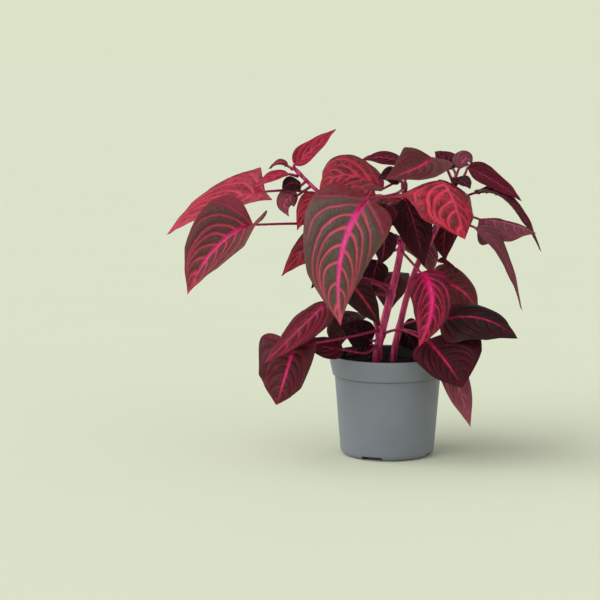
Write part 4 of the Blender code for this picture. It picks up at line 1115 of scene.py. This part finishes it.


# Small shaded leaves fill the middle of the plant, dark where little light gets to them. Many wear the
# black finish, which is partly painted shade, and the three lowest have their tone turned down as more
# painted shade.
grow_leaf("leaf_inner_vein", umber, ((2, -7, 180), (-18, -22, 192)), (-42, -34, 193),
    (-26, -38, 174), (-9, -34, 146), width=34, face=(0.1, -0.9, 0.4), fold=4, lobe=0.05)
grow_leaf("leaf_inner_left", black, ((14, -1, 228), (0, 6, 222)), (-11, 6, 214), (-16, 3, 196),
    (-20, 0, 172), width=30, face=(-0.1, -0.95, 0.2), fold=2, droop=20, lobe=0.05)
grow_leaf("leaf_low_left_dark", black, ((-10, -8, 128),), (-18, -8, 126), (-34, -10, 137),
    (-52, -8, 144), width=36, face=(0, -0.85, 0.5), fold=2, droop=20, lobe=0.05, tone=0.55)
grow_leaf("leaf_low_back_right", black, ((9, 13, 120), (12, 24, 130)), (16, 30, 133),
    (26, 34, 124), (36, 30, 106), width=38, face=(0, -0.8, 0.6), fold=2, droop=20, lobe=0.05, tone=0.55)
grow_leaf("leaf_low_back_left", black, ((-8, 28, 114),), (-16, 18, 118), (-30, 18, 116),
    (-46, 14, 106), width=28, face=(0, -0.5, 0.86), fold=2, droop=20, lobe=0.05, tone=0.55)
grow_leaf("leaf_inner_black", black, ((18, 1, 281),), (17, -9, 283), (28, -14, 254),
    (38, -22, 209), width=50, face=(0, -0.98, 0.2), fold=2, droop=22, grid=MIDDLE, tone=1.35)
grow_leaf("leaf_inner_brown", black, ((17, 0, 258), (4, 0, 254)), (-6, -24, 249),
    (-6, -29, 231), (-10, -27, 212), width=28, face=(-0.1, -0.95, 0.2), fold=2, droop=20, lobe=0.05,
    tone=1.1)
grow_leaf("leaf_inner_red", wine, ((18, 1, 272), (2, -3, 276)), (-2, -18, 277), (-7, -28, 266),
    (-12, -32, 250), width=30, face=(-0.2, -0.9, 0.4), fold=2, droop=20, lobe=0.05, tone=0.8)
grow_leaf("leaf_inner_right", wine, ((57, 0, 260),), (66, 10, 256), (62, 11, 236),
    (64, 12, 212), width=30, face=(0.1, -0.98, 0.1), fold=2, droop=20, lobe=0.05, tone=0.7)
grow_leaf("leaf_right_curl", wine, ((43, 4, 230),), (54, -4, 215), (65, -6, 212),
    (78, -6, 202), width=18, face=(0, -0.2, 0.98), fold=10, droop=20, lobe=0.05, tone=0.8)
grow_leaf("leaf_top_small", wine, ((17, 4, 294), (20, 14, 312)), (14, 24, 320), (-7, 26, 326),
    (-30, 24, 323), width=24, face=(0, -0.6, 0.8), fold=6, lobe=0.05)
grow_leaf("leaf_top_dark", black, ((17, 0, 297),), (11, -10, 305), (1, -16, 309),
    (-12, -20, 306), width=26, face=(0, -0.8, 0.6), fold=6, lobe=0.05)


# The back carries leaves like those in front. Most of them face up and away from
# the camera.
grow_leaf("leaf_back_top", scarlet, ((-22, 54, 262), (-14, 66, 272)), (-8, 76, 276),
    (8, 112, 272), (18, 150, 234), width=66, face=(0.1, 0.35, 0.93), fold=6, grid=MIDDLE, tone=0.9)
grow_leaf("leaf_back_top_left", crimson, ((-22, 54, 264), (-36, 62, 272)), (-46, 68, 275),
    (-70, 92, 266), (-88, 122, 228), width=62, face=(-0.2, 0.3, 0.93), fold=6, grid=MIDDLE)
grow_leaf("leaf_back_right", brown_red, ((-22, 50, 222), (-2, 60, 232)), (8, 66, 234),
    (38, 92, 222), (56, 124, 182), width=64, face=(0.25, 0.3, 0.92), fold=6, grid=MIDDLE, tone=0.9)
grow_leaf("leaf_back_left", brown_green, ((-22, 51, 224), (-34, 64, 232)), (-42, 74, 234),
    (-54, 110, 224), (-58, 142, 180), width=62, face=(-0.1, 0.35, 0.93), fold=6, grid=MIDDLE, tone=0.95)
grow_leaf("leaf_back_low", maroon, ((-16, 42, 182), (-12, 58, 190)), (-8, 70, 190),
    (4, 104, 178), (6, 134, 136), width=60, face=(0, 0.35, 0.93), fold=6, grid=MIDDLE)
grow_leaf("leaf_back_low_right", umber, ((22, 11, 180), (34, 26, 188)), (42, 40, 188),
    (62, 70, 174), (72, 100, 130), width=56, face=(0.2, 0.35, 0.9), fold=6, grid=MIDDLE)
grow_leaf("leaf_back_rim", maroon, ((-11, 34, 142), (-22, 50, 150)), (-30, 60, 148),
    (-46, 86, 134), (-56, 112, 92), width=54, face=(-0.1, 0.35, 0.93), fold=6, grid=MIDDLE, tone=0.7)
grow_leaf("leaf_back_tip", coral, ((-22, 54, 266),), (-23, 54, 273), (-26, 62, 290),
    (-32, 72, 302), width=26, face=(0.2, -0.5, 0.8), fold=14, droop=20, lobe=0.05, tone=0.9)


# The floor is a plain pale sheet, wide enough that its edge lies at the horizon,
# where the surround goes on in the same pale tone. It isn't part of the plant.
PALE_TONE = (219, 226, 200)
PAPER_TONE = (228, 234, 209)
PAPER_LIGHT = (230, 236, 211)
FLOOR_RADIUS = 60000.0
FLOOR_STEPS = 64


def pale_paper():
    """Matt paper, a little cloudy."""
    finish, tree, shader, where = new_finish("pale_paper", 0.95, 0.0)
    cloud = mottle(tree, where, 0.004, 2.0)
    shade = blend(ramp(cloud, 0.3, 0.7, 0.0, 0.3), linear(PAPER_TONE), linear(PAPER_LIGHT))
    feed(tree, shader.inputs["Base Color"], shade)
    return finish


floor = turned_piece("floor", [(FLOOR_RADIUS, 0.0), (0.0, 0.0)], FLOOR_STEPS, pale_paper())
if floor.data.polygons[0].normal.z < 0:
    floor.data.flip_normals()


# Light is soft and even, a little stronger from the upper left, and the
# camera stands where the photograph was taken from.
KEY_FROM = (-2.5, -0.7, 2.3)
KEY_STRENGTH = 2.0
KEY_SPREAD = 74.0
FILL_FROM = (1.2, -2.0, 0.9)
FILL_STRENGTH = 0.24
FILL_SPREAD = 70.0
DOME_STRENGTH = 0.46
CAMERA_AT = (-0.0966, -2.1591, 0.4549)
CAMERA_TILT = 82.5
CAMERA_SENSOR = 36.0
CAMERA_LENS = 118.92
FAR_CLIP = 200.0


def soft_sun(name, origin, strength, spread):
    """Wide, even light that comes from the side of a point."""
    lamp = bpy.data.lights.new(name, "SUN")
    lamp.energy = strength
    lamp.angle = math.radians(spread)
    rig = bpy.data.objects.new(name, lamp)
    rig.location = origin
    rig.rotation_euler = (-Vector(origin)).to_track_quat("-Z", "Y").to_euler()
    bpy.context.scene.collection.objects.link(rig)


def surround():
    """Neutral light from above; at and below the horizon, the floor's own tone."""
    world = bpy.data.worlds.new("surround")
    world.use_nodes = True
    tree = world.node_tree
    height = parted(step(tree, "ShaderNodeTexCoord", output="Generated"))[2]
    dome = (DOME_STRENGTH, DOME_STRENGTH, DOME_STRENGTH, 1.0)
    shade = blend(ramp(height, 0.08, 0.3), linear(PALE_TONE), dome)
    feed(tree, tree.nodes["Background"].inputs["Color"], shade)
    return world


soft_sun("key light", KEY_FROM, KEY_STRENGTH, KEY_SPREAD)
soft_sun("fill light", FILL_FROM, FILL_STRENGTH, FILL_SPREAD)
bpy.context.scene.world = surround()
bpy.context.scene.view_settings.view_transform = "Standard"

camera = bpy.data.objects.new("camera", bpy.data.cameras.new("camera"))
camera.location = CAMERA_AT
camera.rotation_euler = (math.radians(CAMERA_TILT), 0.0, 0.0)
camera.data.sensor_width = CAMERA_SENSOR
camera.data.lens = CAMERA_LENS
camera.data.clip_end = FAR_CLIP
bpy.context.scene.collection.objects.link(camera)
bpy.context.scene.camera = camera
